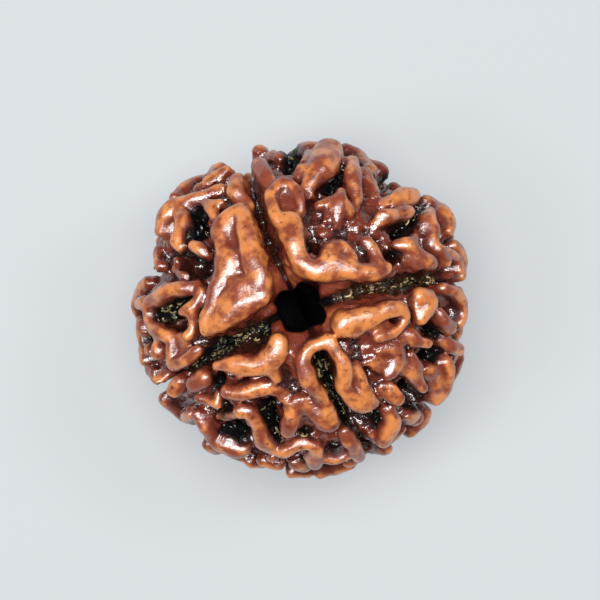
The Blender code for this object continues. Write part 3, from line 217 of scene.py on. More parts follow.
# Ridges at the waist, each with points (degrees round the axis, degrees from the pole, half width, depth)
RIDGES_WAIST = [
    [(105, 88, 0.45, 0.4), (103, 97, 0.45, 0.9), (100, 106, 0.4, 1.0)],
    [(120, 84, 0.42, 0.4), (122, 92, 0.45, 0.4), (123, 101, 0.4, 0.5)],
    [(139, 88, 0.42, 0.0), (134, 94, 0.45, 0.1), (129, 97, 0.45, 0.2), (126, 94, 0.4, 0.5)],
    [(151, 94, 0.45, 0.9), (158, 98, 0.45, 1.2), (163, 100, 0.4, 1.2)],
    [(171, 82, 0.4, 0.8), (175, 91, 0.45, 0.3), (181, 96, 0.45, 0.2), (186, 98, 0.36, 0.6)],
    [(74, 92, 0.45, 0.2), (69, 90, 0.5, 0.4), (65, 84, 0.45, 0.7), (62, 76, 0.4, 0.9)],
    [(40, 86, 0.5, 0.1), (34, 91, 0.55, 0.0), (29, 93, 0.55, 0.0), (26, 91, 0.45, 0.2)],
    [(22, 80, 0.36, 0.1), (18, 86, 0.42, 0.0), (14, 88, 0.4, 0.1), (11, 82, 0.3, 0.3)],
    [(342, 96, 0.36, 0.0), (336, 98, 0.4, 0.0), (331, 97, 0.36, 0.2)],
    [(311, 94, 0.42, 0.0), (316, 95, 0.5, 0.0), (320, 93, 0.4, 0.2)],
    [(301, 94, 0.45, 0.1), (297, 100, 0.4, 0.3)],
    [(277, 94, 0.42, 0.0), (282, 96, 0.45, 0.0), (287, 96, 0.4, 0.1)],
    [(267, 90, 0.34, 0.1), (272, 94, 0.36, 0.1)],
    [(214, 94, 0.42, 0.2), (219, 98, 0.45, 0.2), (224, 98, 0.4, 0.4)],
    [(203, 93, 0.42, 0.2), (201, 100, 0.4, 0.3)],
    [(195, 96, 0.36, 0.3), (199, 90, 0.36, 0.2)],
    [(236, 90, 0.42, 0.1), (240, 98, 0.45, 0.1), (238, 106, 0.4, 0.2)],
    [(252, 88, 0.4, 0.3), (256, 96, 0.45, 0.6), (254, 105, 0.4, 0.6)],
]

# Pits as seen from above, each with points (x, y) and the pit's radius
PITS = [
    ([(1.7, 8.0), (2.4, 8.9), (2.7, 9.7)], 0.55),
    ([(0.7, 3.9)], 0.4),
    ([(6.5, 4.9), (7.4, 5.6), (8.0, 6.7)], 0.35),
    ([(8.1, 4.6), (8.1, 3.9)], 0.3),
    ([(6.0, 3.4)], 0.36),
    ([(-6.7, 6.3), (-6.9, 5.4), (-7.0, 4.7)], 0.55),
    ([(-7.4, 3.0), (-6.7, 2.7)], 0.7),
    ([(-9.2, -0.7), (-8.6, -0.2), (-7.3, 0.6)], 0.6),
    ([(-7.8, -1.1)], 0.35),
    ([(-2.8, -1.9), (-3.6, -2.1)], 0.6),
    ([(-4.8, -2.4), (-6.0, -2.9), (-7.3, -4.0)], 0.45),
    ([(-2.3, -6.8), (-2.0, -7.6), (-1.7, -8.5)], 0.5),
    ([(0.2, -8.2)], 0.35),
    ([(0.2, -9.8)], 0.3),
    ([(2.1, -9.1)], 0.45),
    ([(-5.2, -8.2), (-4.3, -8.4), (-3.8, -8.0)], 0.75),
    ([(-5.9, -7.5)], 0.4),
    ([(1.3, -3.2), (1.5, -4.2), (2.0, -5.2), (2.6, -6.6), (3.3, -7.8)], 0.5),
    ([(-3.6, -4.9), (-2.2, -4.85)], 0.25),
    ([(-5.4, -4.7), (-4.9, -6.7)], 0.35),
    ([(8.2, -1.4), (8.8, -1.7)], 0.35),
    ([(8.2, -3.1), (9.2, -3.2)], 0.5),
    ([(6.9, -5.2), (7.4, -6.2)], 0.7),
    ([(3.9, -7.6), (5.0, -7.3)], 0.6),
    ([(6.0, -1.2)], 0.25),
]

# Pits at the waist, where the outline dips, each with points (degrees round the axis, degrees from the upper
# pole) and the pit's radius
PITS_WAIST = [
    ([(56, 74), (55, 92), (57, 104)], 0.45),
    ([(94, 70), (94, 92), (92, 112)], 0.6),
    ([(162, 78), (163, 90), (168, 100)], 0.65),
    ([(193, 84), (193, 98)], 0.35),
    ([(26, 80), (24, 100)], 0.25),
    ([(303, 104), (303, 112)], 0.4),
]


class Side(Enum):
    """The upper half of the nut, which faces the view down the bore, and the lower half."""

    UPPER = 1
    LOWER = -1


@dataclass(frozen=True)
class Seams:
    """The four seams that run from pole to pole between the faces.

    Attributes:
        starts: Their directions round the axis, in degrees.
        turned: Which seam each becomes when the pattern is turned over to make the lower half.
        bend_polars: Angles from a pole, in degrees, at which the seams' bends are given.
        bends: Each seam's direction at those angles.
    """

    starts: tuple[float, ...] = (13.0, 115.0, 207.0, 291.5)
    turned: tuple[int, ...] = (2, 1, 0, 3)
    bend_polars: tuple[float, ...] = (8.0, 28.0, 50.0, 90.0)
    bends: tuple[tuple[float, ...], ...] = (
        (12.0, 15.0, 12.5, 10.5),
        (118.0, 117.0, 114.0, 112.5),
        (202.0, 207.5, 209.0, 211.0),
        (294.0, 290.5, 291.5, 294.0),
    )

    def fraction(self, azimuth: float) -> tuple[int, float]:
        """Finds the face that a direction lies in.

        Args:
            azimuth: The direction, in degrees.

        Returns:
            The face's number, and how far across it the direction is, from 0 to 1.
        """
        azimuth = (azimuth - self.starts[0]) % 360.0 + self.starts[0]
        face = max(k for k in range(4) if azimuth >= self.starts[k])
        width = (self.starts[(face + 1) % 4] - self.starts[face]) % 360.0
        return face, (azimuth - self.starts[face]) / width

    def turned_over(self, azimuth: float) -> float:
        """Gives a direction's place on the lower half.

        Args:
            azimuth: The direction on the upper half, in degrees.

        Returns:
            The direction on the lower half, in degrees.
        """
        face, share = self.fraction(azimuth)
        start = self.starts[self.turned[face]]
        return start - share * ((start - self.starts[self.turned[(face + 1) % 4]]) % 360.0)

    def offsets(self, azimuth: np.ndarray, polar: np.ndarray, across: np.ndarray) -> np.ndarray:
        """Measures how far places lie from the nearest seam.

        Args:
            azimuth: The places' directions round the axis, in degrees.
            polar: Their angles from the upper pole, in degrees.
            across: Their distances from the axis, in millimetres.

        Returns:
            Distances over the surface, in millimetres.
        """
        folded = np.minimum(polar, 180.0 - polar)
        nearest = np.full(len(azimuth), 99.0)
        for bends in self.bends:
            seam = np.interp(folded, self.bend_polars, bends)
            turn = np.radians((azimuth - seam + 180.0) % 360.0 - 180.0)
            nearest = np.minimum(nearest, np.abs(turn) * across)
        return nearest


@dataclass(frozen=True)
class Crest:
    """The ellipsoid that the ridges' tops lie on.

    Attributes:
        radius: From the axis to the ridges' tops, at the middle.
        half_height: From the middle to the ridges' tops, at a pole.
        seams: The seams, which say how the pattern is turned over.
    """

    radius: float = 11.2
    half_height: float = 10.0
    seams: Seams = Seams()

    def at_depth(self, point: Vector, depth: float) -> Vector:
        """Moves a point straight in or out.

        Args:
            point: Any point but the middle.
            depth: The depth below the crest that it is moved to.

        Returns:
            The moved point.
        """
        unit = Vector((point.x / self.radius, point.y / self.radius, point.z / self.half_height)).normalized()
        radius, half_height = self.radius - depth, self.half_height - depth
        return Vector((unit.x * radius, unit.y * radius, unit.z * half_height))

    def by_angles(self, azimuth: float, polar: float) -> Vector:
        """Gives the crest's point in a direction.

        Args:
            azimuth: Degrees round the axis.
            polar: Degrees from the upper pole.

        Returns:
            The point.
        """
        turn, tilt = math.radians(azimuth), math.radians(polar)
        flat = self.radius * math.sin(tilt)
        return Vector((flat * math.cos(turn), flat * math.sin(turn), self.half_height * math.cos(tilt)))

    def by_view(self, x: float, y: float, depth: float, side: Side) -> Vector:
        """Gives the point that shows at a place in the view down the bore.

        Args:
            x: The place, to the right of the axis.
            y: The place, above the axis in the view.
            depth: The point's depth below the crest.
            side: The half that it belongs to; on the lower one the pattern is turned over.

        Returns:
            The point.
        """
        radius, half_height = self.radius - depth, self.half_height - depth
        share = min(1.0, math.hypot(x, y) / radius)
        azimuth = math.atan2(y, x)
        if side is Side.LOWER:
            azimuth = math.radians(self.seams.turned_over(math.degrees(azimuth)))
        height = side.value * half_height * math.sqrt(1.0 - share * share)
        return Vector((share * radius * math.cos(azimuth), share * radius * math.sin(azimuth), height))

    def outward(self, point: Vector) -> Vector:
        """The direction straight out of the nut at a point."""
        return Vector((point.x, point.y, point.z * (self.radius / self.half_height) ** 2)).normalized()

    def depths(self, places: np.ndarray) -> np.ndarray:
        """How far below the crest each place lies."""
        unit = np.linalg.norm(places / [self.radius, self.radius, self.half_height], axis=1)
        return (1.0 - unit) * (self.radius + self.half_height) / 2.0


def new_mesh(name: str, bm: bmesh.types.BMesh) -> bpy.types.Mesh:
    """Writes a bmesh to a new mesh and frees it.

    Args:
        name: The mesh's name.
        bm: The bmesh.

    Returns:
        The mesh.
    """
    mesh = bpy.data.meshes.new(name)
    bm.to_mesh(mesh)
    bm.free()
    return mesh


def new_object(name: str, mesh: bpy.types.Mesh) -> bpy.types.Object:
    """Puts a mesh in the scene.

    Args:
        name: The object's name.
        mesh: Its mesh.

    Returns:
        The object.
    """
    obj = bpy.data.objects.new(name, mesh)
    bpy.context.scene.collection.objects.link(obj)
    return obj


def apply_modifiers(obj: bpy.types.Object) -> None:
    """Makes an object's mesh what its modifiers give, and takes them off.

    Args:
        obj: The object.
    """
    graph = bpy.context.evaluated_depsgraph_get()
    mesh = bpy.data.meshes.new_from_object(obj.evaluated_get(graph))
    obj.modifiers.clear()
    obj.data = mesh


def places_of(mesh: bpy.types.Mesh) -> np.ndarray:
    """A mesh's vertices, as rows of x, y and z."""
    flat = np.empty(len(mesh.vertices) * 3, np.float32)
    mesh.vertices.foreach_get("co", flat)
    return flat.reshape(-1, 3).astype(float)


def normals_of(mesh: bpy.types.Mesh) -> np.ndarray:
    """A mesh's vertex normals, as rows of x, y and z."""
    flat = np.empty(len(mesh.vertices) * 3, np.float32)
    mesh.vertex_normals.foreach_get("vector", flat)
    return flat.reshape(-1, 3).astype(float)


def uneven(place: np.ndarray, size: float, seed: float) -> float:
    """A soft random height from -1 to 1 with bumps of about this size."""
    return noise.noise(Vector(place) / size + Vector((seed, 0.0, 0.0)))


def smooth_step(values: np.ndarray, low: float, high: float) -> np.ndarray:
    """Rises smoothly from 0 at low to 1 at high."""
    share = np.clip((values - low) / (high - low), 0.0, 1.0)
    return share * share * (3.0 - 2.0 * share)


@dataclass
class Ridge:
    """One ridge: its route and the section that is extruded along it.

    Attributes:
        crest: The ellipsoid that it rises to.
        rows: Its (place on the crest, half width, depth) points.
        root: How deep below the crest its foot is sunk.
        step: The spacing of the sections along it.
        end_shares: Where its round ends have sections, in shares of the half width.
        end_drop: How fast a round end sinks as it narrows.
        least_half: The narrowest that it gets, as a half width.
    """

    crest: Crest
    rows: list[Station]
    root: float = 2.95
    step: float = 0.3
    end_shares: tuple[float, ...] = (0.5, 0.85, 0.99)
    end_drop: float = 0.8
    least_half: float = 0.12

    @staticmethod
    def curve_value(values: list, place: float):
        """Reads a smooth curve that passes through its points.

        Args:
            values: The points: numbers or vectors.
            place: How far along them to read, in points.

        Returns:
            The curve's number or vector there.
        """
        i = min(int(place), len(values) - 2)
        t = place - i
        b, c = values[i], values[i + 1]
        a = values[i - 1] if i > 0 else 2 * b - c
        d = values[i + 2] if i + 2 < len(values) else 2 * c - b
        bend, twist = 2 * a - 5 * b + 4 * c - d, 3 * b - a - 3 * c + d
        return 0.5 * (2 * b + (c - a) * t + bend * t**2 + twist * t**3)

    def end_station(self, last: Station, neighbour: Station, share: float) -> Station:
        """Gives a station past the last one, narrower and lower, for a round end.

        Args:
            last: The last station.
            neighbour: The one before it.
            share: How far past it, in half widths.

        Returns:
            The new station.
        """
        place, half, depth = last
        onward = (place - neighbour[0]).normalized()
        narrowed = half * math.sqrt(1.0 - share * share)
        lowered = depth + self.end_drop * (half - narrowed)
        return self.crest.at_depth(place + onward * half * share, lowered), narrowed, depth

    def stations(self) -> list[Station]:
        """Evenly spaced stations along the ridge, with its round ends."""
        places = [place for place, _, _ in self.rows]
        halves = [half for _, half, _ in self.rows]
        depths = [depth for _, _, depth in self.rows]
        length = sum((b - a).length for a, b in zip(places, places[1:]))
        steps = max(2, round(length / self.step))
        body = []
        for i in range(steps + 1):
            along = i * (len(places) - 1) / steps
            depth = self.curve_value(depths, along)
            place = self.crest.at_depth(self.curve_value(places, along), depth)
            body.append((place, max(self.least_half, self.curve_value(halves, along)), depth))
        head = [self.end_station(body[0], body[1], share) for share in reversed(self.end_shares)]
        tail = [self.end_station(body[-1], body[-2], share) for share in self.end_shares]
        return head + body + tail

    @staticmethod
    def section(half: float, wall: float) -> list[tuple[float, float]]:
        """Gives the section: a round crest on a narrower neck, with a flared root.

        Args:
            half: Half the ridge's width.
            wall: Its height from crest to root.

        Returns:
            Points (across, up) all round it.
        """
        right = [
            (0.5 * half, -0.1 * half),
            (0.86 * half, -0.42 * half),
            (1.0 * half, -0.95 * half),
            (0.92 * half, -0.5 * half - 0.35 * wall),
            (0.85 * half, -0.3 * half - 0.6 * wall),
            (0.85 * half, -wall),
        ]
        return [(0.0, 0.0)] + right + [(-across, up) for across, up in reversed(right)]

    def mesh(self) -> bpy.types.Mesh:
        """The closed mesh of the ridge."""
        stations = self.stations()
        bm = bmesh.new()
        cap = None
        for i, (place, half, depth) in enumerate(stations):
            before, after = stations[max(i - 1, 0)][0], stations[min(i + 1, len(stations) - 1)][0]
            up = self.crest.outward(place)
            across = (after - before).cross(up).normalized()
            points = [place + across * x + up * y for x, y in self.section(half, self.root - depth)]
            if cap is None:
                cap = bm.faces.new([bm.verts.new(point) for point in points])
                continue
            made = bmesh.ops.extrude_face_region(bm, geom=[cap])["geom"]
            cap = [item for item in made if isinstance(item, bmesh.types.BMFace)][0]
            for vert, point in zip(cap.verts, points):
                vert.co = point
        bmesh.ops.recalc_face_normals(bm, faces=bm.faces)
        return new_mesh("ridge", bm)


@dataclass
class RidgeNet:
    """All the ridges of the nut: the ones that show from above, the same turned over, and those at the waist.

    Attributes:
        crest: The ellipsoid that they rise to.
        seen: The ridges that show from above, by face.
        waist: The ridges at the waist.
        widened: How much wider than its route says each of them is made.
        lower_rim_depth: The least depth of the lower half's outer ridges.
        rim_radius: How far from the axis a ridge counts as an outer one.
        filler_seed: The seed of the draws for the filling ridges.
        filler_tries: How many of them are tried.
        filler_step: The spacing of their points.
        filler_points: The most points that one has.
        filler_gap: How far they keep from other ridges.
        filler_seam_gap: How far they keep from a seam.
        filler_pit_share: How far into a pit's slope they may go.
        filler_halves: Their narrowest and widest half widths.
        filler_depths: Their least and greatest depths.
        filler_heights: The lowest and highest places where they start, in shares of the nut's half height.
        filler_spread: How much a ridge's width wavers along it.
        filler_turn: How far it may turn from point to point, in radians.
    """

    crest: Crest
    seen: tuple[list[Rows], ...] = (RIDGES_NORTH, RIDGES_WEST, RIDGES_SOUTH, RIDGES_EAST)
    waist: list[Rows] = field(default_factory=lambda: RIDGES_WAIST)
    widened: float = 1.2
    lower_rim_depth: float = 0.45
    rim_radius: float = 9.0
    filler_seed: int = 8
    filler_tries: int = 1500
    filler_step: float = 0.4
    filler_points: int = 14
    filler_gap: float = 0.3
    filler_seam_gap: float = 0.55
    filler_pit_share: float = 0.25
    filler_halves: tuple[float, float] = (0.38, 0.62)
    filler_depths: tuple[float, float] = (0.3, 0.8)
    filler_heights: tuple[float, float] = (-0.72, 0.72)
    filler_spread: tuple[float, float] = (0.85, 1.15)
    filler_turn: float = 0.75

    def __post_init__(self) -> None:
        """Places every ridge on the crest, then fills the bare floor that is left."""
        self.ridges = []
        for side in Side:
            for face in self.seen:
                for rows in face:
                    self.add([self.seen_station(*row, side) for row in rows])
        for rows in self.waist:
            self.add([(self.crest.by_angles(*row[:2]), *row[2:]) for row in rows])
        self.fill_in()

    def seen_station(self, x: float, y: float, half: float, depth: float, side: Side) -> Station:
        """Places a point of a ridge that shows from above, on either half.

        On the lower half an outer ridge is kept inside the outline seen from above.

        Args:
            x: Its place in the view, to the right of the axis.
            y: Its place above the axis in the view.
            half: Its half width.
            depth: Its depth on the upper half.
            side: The half that it is on.

        Returns:
            The station.
        """
        if side is Side.LOWER:
            depth = max(depth, self.lower_rim_depth if math.hypot(x, y) > self.rim_radius else 0.0)
        return self.crest.by_view(x, y, depth, side), half, depth

    def add(self, placed: list[Station]) -> None:
        """Adds one ridge through these stations."""
        widened = [(place, half * self.widened, depth) for place, half, depth in placed]
        self.ridges.append(Ridge(self.crest, widened))

    def taken(self) -> list[Station]:
        """Where every ridge runs: points on the crest, each with the ridge's half width and depth."""
        stations = [station for ridge in self.ridges for station in ridge.stations()]
        return [(self.crest.at_depth(place, 0.0), half, depth) for place, half, depth in stations]

    def fill_in(self) -> None:
        """Lays short wandering ridges over the floor that no other ridge covers, by seeded draws."""
        draw = random.Random(self.filler_seed)
        taken = self.taken()
        points = np.array([point for point, _, _ in taken])
        halves = np.array([half for _, half, _ in taken])
        body = TurnedBody(self.crest)
        for _ in range(self.filler_tries):
            half = draw.uniform(*self.filler_halves)
            depth = draw.uniform(*self.filler_depths)
            polar = math.degrees(math.acos(draw.uniform(*self.filler_heights)))
            place = self.crest.by_angles(draw.uniform(0.0, 360.0), polar)
            heading = draw.uniform(0.0, 2 * math.pi)
            rows = []
            while len(rows) < self.filler_points:
                flat = np.array([self.crest.at_depth(place, 0.0)])
                room = (np.linalg.norm(points - flat[0], axis=1) - halves).min() - half
                if room < self.filler_gap or body.seam_offsets(flat)[0] < half + self.filler_seam_gap:
                    break
                if body.pit_share(flat)[0] > self.filler_pit_share:
                    break
                rows.append((place, half * draw.uniform(*self.filler_spread), depth))
                heading += draw.uniform(-self.filler_turn, self.filler_turn)
                up = self.crest.outward(place)
                side = up.orthogonal().normalized()
                onward = side * math.cos(heading) + up.cross(side) * math.sin(heading)
                place = self.crest.at_depth(place + onward * self.filler_step, 0.0)
            if len(rows) < 2:
                continue
            self.ridges.append(Ridge(self.crest, rows))
            new = [(self.crest.at_depth(point, 0.0), width) for point, width, _ in self.ridges[-1].stations()]
            points = np.vstack([points, [point for point, _ in new]])
            halves = np.concatenate([halves, [width for _, width in new]])
        LOG.info("%d ridges in all", len(self.ridges))


@dataclass
class TurnedBody:
    """The nut without its ridges: a spun profile with a bore, then seams, a collar and pits by formula.

    Attributes:
        crest: The ellipsoid that depths are counted from.
        floor: The depth of the plain floor between the ridges.
        slope_top: How far below a ridge's crest the floor's slope up to it ends.
        slope_reach: How far from the ridge that slope starts.
        seam_depth: How far a seam's trough goes below the floor.
        seam_half_width: Half the trough's width.
        seam_run_in: How far from the bore's mouth a seam reaches its full depth.
        seam_least: The share of that depth that it has at the mouth.
        crack_depth: How far the crack along a seam goes below its trough.
        crack_half_width: Half the crack's width.
        collar_depth: How far the surface has dropped at the bore's mouth.
        collar_reach: How far from the mouth that slope starts.
        mouth_radius: The bore's radius at its mouth.
        waist_radius: The bore's radius at its waist.
        bore_reach: How far up and down from the middle the bore's waist runs.
        rim: The bore's uneven outline: (direction, how much wider or narrower it is there).
        bore_waver: How far the bore swings to each side of the axis, which hides the floor under it.
        mouth_reach: How fast that widening dies away outwards.
        pit_depth: How far a pit goes below the floor.
        pit_margin: How far a pit's slope reaches past its radius.
        pit_slope: How wide that slope is.
        pit_sight: The depth at which a pit is seen in the view, which its place is read at.
        deepest: The deepest hollow below the floor.
        swell: How far the floor rises and falls.
        swell_size: About how wide those swells are.
        near_ridges: How many stations near a place count for the slope there.
        turn_steps: The profile's steps round the axis.
        outside_steps: Its steps from pole to pole.
        bore_steps: Its steps along the bore.
    """

    crest: Crest
    floor: float = 2.05
    slope_top: float = 1.05
    slope_reach: float = 1.7
    seam_depth: float = 0.9
    seam_half_width: float = 0.45
    seam_run_in: float = 2.5
    seam_least: float = 0.3
    crack_depth: float = 0.7
    crack_half_width: float = 0.14
    collar_depth: float = 0.7
    collar_reach: float = 1.3
    mouth_radius: float = 1.5
    waist_radius: float = 1.15
    bore_reach: float = 4.6
    rim: tuple[tuple[float, float], ...] = (
        (-15.0, 0.1), (10.0, -0.33), (45.0, 0.06), (59.0, 0.25), (86.0, 0.05), (114.0, -0.29),
        (140.0, 0.1), (165.0, 0.46), (180.0, 0.1), (212.0, 0.03), (242.0, 0.2), (270.0, 0.15),
        (302.0, 0.03), (327.0, 0.16), (345.0, 0.1), (370.0, -0.33),
    )
    bore_waver: float = 1.3
    mouth_reach: float = 0.8
    pit_depth: float = 1.6
    pit_margin: float = 0.4
    pit_slope: float = 0.65
    pit_sight: float = 1.0
    deepest: float = 2.2
    swell: float = 0.3
    swell_size: float = 2.2
    near_ridges: int = 4
    turn_steps: int = 240
    outside_steps: int = 120
    bore_steps: int = 24

    def profile(self) -> list[tuple[float, float]]:
        """The outline as (across, height) points, down the outside and back up the bore."""
        radius, half_height = self.crest.radius - self.floor, self.crest.half_height - self.floor
        first = math.asin(self.mouth_radius / radius)
        points = []
        for i in range(self.outside_steps + 1):
            tilt = first + (math.pi - 2 * first) * i / self.outside_steps
            points.append((radius * math.sin(tilt), half_height * math.cos(tilt)))
        for i in range(self.bore_steps + 1):
            share = 2.0 * i / self.bore_steps - 1.0
            waist = self.waist_radius + (self.mouth_radius - self.waist_radius) * 0.6 * share**4
            points.append((waist, self.bore_reach * share))
        return points

    def polar(self, places: np.ndarray) -> np.ndarray:
        """Each place's angle from the upper pole, in degrees."""
        across = np.hypot(places[:, 0], places[:, 1]) / self.crest.radius
        return np.degrees(np.arctan2(across, places[:, 2] / self.crest.half_height))

    def seam_offsets(self, places: np.ndarray) -> np.ndarray:
        """Each place's distance from the nearest seam."""
        azimuth = np.degrees(np.arctan2(places[:, 1], places[:, 0]))
        return self.crest.seams.offsets(azimuth, self.polar(places), np.hypot(places[:, 0], places[:, 1]))

    def pit_routes(self) -> list[tuple[list[Vector], float]]:
        """Every pit, as points on the crest above it and its radius."""
        routes = []
        for route, radius in PITS_WAIST:
            routes.append(([self.crest.by_angles(*place) for place in route], radius))
        for side in Side:
            for route, radius in PITS:
                seen = [self.crest.by_view(x, y, self.pit_sight, side) for x, y in route]
                routes.append(([self.crest.at_depth(point, 0.0) for point in seen], radius))
        return routes

    def pit_share(self, places: np.ndarray) -> np.ndarray:
        """How far each place, or the crest above it, is over a pit, from 0 outside to 1 in its middle."""
        found = np.zeros(len(places))
        places = np.array([self.crest.at_depth(Vector(place), 0.0) for place in places])
        for route, radius in self.pit_routes():
            points = [np.array(point) for point in route]
            for a, b in list(zip(points, points[1:])) or [(points[0], points[0])]:
                along = np.clip((places - a) @ (b - a) / max((b - a) @ (b - a), 1e-9), 0.0, 1.0)
                distance = np.linalg.norm(places - a - along[:, None] * (b - a), axis=1)
                inside = radius + self.pit_margin - distance
                found = np.maximum(found, smooth_step(inside, 0.0, self.pit_slope))
        return found

    def slopes(self, places: np.ndarray, taken: list[Station]) -> np.ndarray:
        """How far the floor rises at each place towards the ridges near it.

        Args:
            places: The places.
            taken: Where the ridges run, with their half widths and depths.

        Returns:
            Heights above the plain floor.
        """
        tree = KDTree(len(taken))
        for i, (point, _, _) in enumerate(taken):
            tree.insert(self.crest.at_depth(point, self.floor), i)
        tree.balance()
        rises = np.zeros(len(places))
        near = [tree.find_n(place, self.near_ridges) for place in places]
        for k in range(self.near_ridges):
            ids = [found[k][1] for found in near]
            distance = np.array([found[k][2] for found in near]) - np.array([taken[i][1] for i in ids])
            top = self.floor - self.slope_top - np.array([taken[i][2] for i in ids])
            rises = np.maximum(rises, top * (1.0 - smooth_step(distance, 0.0, self.slope_reach)))
        return rises

    def hollows(self, places: np.ndarray, taken: list[Station]) -> np.ndarray:
        """How far below the plain floor each place of the body is set, given where the ridges run."""
        offset = self.seam_offsets(places)
        across = np.hypot(places[:, 0], places[:, 1])
        depth = self.seam_depth * np.exp(-((offset / self.seam_half_width) ** 2))
        depth *= np.clip((across - self.mouth_radius) / self.seam_run_in, self.seam_least, 1.0)
        depth += self.crack_depth * np.exp(-((offset / self.crack_half_width) ** 2))
        depth += self.collar_depth * np.clip(1.0 - (across - self.mouth_radius) / self.collar_reach, 0.0, 1.0)
        pit = self.pit_share(places)
        depth += self.pit_depth * pit
        depth += [self.swell * uneven(place, self.swell_size, SWELL_SEED) for place in places]
        open_floor = (1.0 - pit) * (1.0 - np.exp(-((offset / self.seam_half_width) ** 2)))
        return np.minimum(depth, self.deepest) - self.slopes(places, taken) * open_floor

    def on_outside(self, place: Vector) -> bool:
        """Whether a place of the plain body lies on its outside and not in its bore."""
        radius, half_height = self.crest.radius - self.floor, self.crest.half_height - self.floor
        return Vector((place.x / radius, place.y / radius, place.z / half_height)).length > 0.999

    def mesh(self, taken: list[Station]) -> bpy.types.Mesh:
        """Makes the closed mesh of the body.

        Args:
            taken: Where the ridges run, with their half widths and depths.

        Returns:
            The mesh.
        """
        bm = bmesh.new()
        verts = [bm.verts.new((across, 0.0, height)) for across, height in self.profile()]
        edges = [bm.edges.new((a, b)) for a, b in zip(verts, verts[1:] + verts[:1])]
        bmesh.ops.spin(bm, geom=verts + edges, cent=(0, 0, 0), axis=(0, 0, 1), angle=2 * math.pi,
                       steps=self.turn_steps, use_merge=True)
        bmesh.ops.recalc_face_normals(bm, faces=bm.faces)
        mesh = new_mesh("turned_body", bm)
        places = places_of(mesh)
        for vert, deep in zip(mesh.vertices, self.hollows(places, taken)):
            azimuth = math.degrees(math.atan2(vert.co.y, vert.co.x)) % 360.0
            wide = float(np.interp(azimuth, [turn for turn, _ in self.rim], [more for _, more in self.rim]))
            if self.on_outside(vert.co):
                wide *= math.exp((self.mouth_radius - math.hypot(vert.co.x, vert.co.y)) / self.mouth_reach)
                vert.co = self.crest.at_depth(vert.co, self.floor + deep)
                vert.co += Vector((vert.co.x, vert.co.y, 0.0)).normalized() * wide
                continue
            vert.co += Vector((vert.co.x, vert.co.y, 0.0)).normalized() * wide
            vert.co.x += self.bore_waver * math.sin(math.pi * vert.co.z / self.bore_reach)
        return mesh


class Shading:
    """A node material under construction, with one Principled shader."""

    def __init__(self, name: str) -> None:
        """Starts a material.

        Args:
            name: Its name.
        """
        self.material = bpy.data.materials.new(name)
        self.material.use_nodes = True
        self.nodes, self.links = self.material.node_tree.nodes, self.material.node_tree.links
        self.shader = self.nodes["Principled BSDF"]
        self.coords = self.nodes.new("ShaderNodeTexCoord")

    def set(self, name: str, value) -> None:
        """Gives one of the shader's sockets a constant or another node's output."""
        if isinstance(value, bpy.types.NodeSocket):
            self.links.new(value, self.shader.inputs[name])
        else:
            self.shader.inputs[name].default_value = value

    def attribute(self, name: str) -> bpy.types.NodeSocket:
        """Reads a number that the mesh holds for each vertex."""
        made = self.nodes.new("ShaderNodeAttribute")
        made.attribute_name = name
        return made.outputs["Fac"]

    def noise(self, size: float, detail: float) -> bpy.types.NodeSocket:
        """Makes a noise on Object coordinates whose blotches are about this many millimetres wide."""
        made = self.nodes.new("ShaderNodeTexNoise")
        made.inputs["Scale"].default_value = 1.0 / (size * MM)
        made.inputs["Detail"].default_value = detail
        self.links.new(self.coords.outputs["Object"], made.inputs["Vector"])
        return made.outputs["Fac"]

    def step(self, value: bpy.types.NodeSocket, low: float, high: float) -> bpy.types.NodeSocket:
        """Rises smoothly from 0 at low to 1 at high."""
        made = self.nodes.new("ShaderNodeMapRange")
        made.interpolation_type = "SMOOTHSTEP"
        made.inputs["From Min"].default_value = low
        made.inputs["From Max"].default_value = high
        self.links.new(value, made.inputs["Value"])
        return made.outputs["Result"]

    def sum(self, value: bpy.types.NodeSocket, share: float, base) -> bpy.types.NodeSocket:
        """Adds a share of one value to another value or a constant."""
        made = self.nodes.new("ShaderNodeMath")
        made.operation = "MULTIPLY_ADD"
        self.links.new(value, made.inputs[0])
        made.inputs[1].default_value = share
        if isinstance(base, bpy.types.NodeSocket):
            self.links.new(base, made.inputs[2])
        else:
            made.inputs[2].default_value = base
        return made.outputs[0]

    def product(self, first: bpy.types.NodeSocket, second: bpy.types.NodeSocket) -> bpy.types.NodeSocket:
        """Multiplies two values."""
        made = self.nodes.new("ShaderNodeMath")
        made.operation = "MULTIPLY"
        self.links.new(first, made.inputs[0])
        self.links.new(second, made.inputs[1])
        return made.outputs[0]

    def mix(self, share: bpy.types.NodeSocket, first, second) -> bpy.types.NodeSocket:
        """Mixes two colours, each another node's output or a constant."""
        made = self.nodes.new("ShaderNodeMix")
        made.data_type = "RGBA"
        self.links.new(share, made.inputs["Factor"])
        for name, colour in (("A", first), ("B", second)):
            socket = [item for item in made.inputs if item.name == name and item.type == "RGBA"][0]
            if isinstance(colour, tuple):
                socket.default_value = (*colour, 1.0)
            else:
                self.links.new(colour, socket)
        return [item for item in made.outputs if item.type == "RGBA"][0]

    def bump(self, height: bpy.types.NodeSocket, distance: float) -> None:
        """Roughens the surface by a height whose full range is this many millimetres."""
        made = self.nodes.new("ShaderNodeBump")
        made.inputs["Strength"].default_value = 1.0
        made.inputs["Distance"].default_value = distance * MM
        self.links.new(height, made.inputs["Height"])
        self.set("Normal", made.outputs["Normal"])
        self.set("Coat Normal", made.outputs["Normal"])


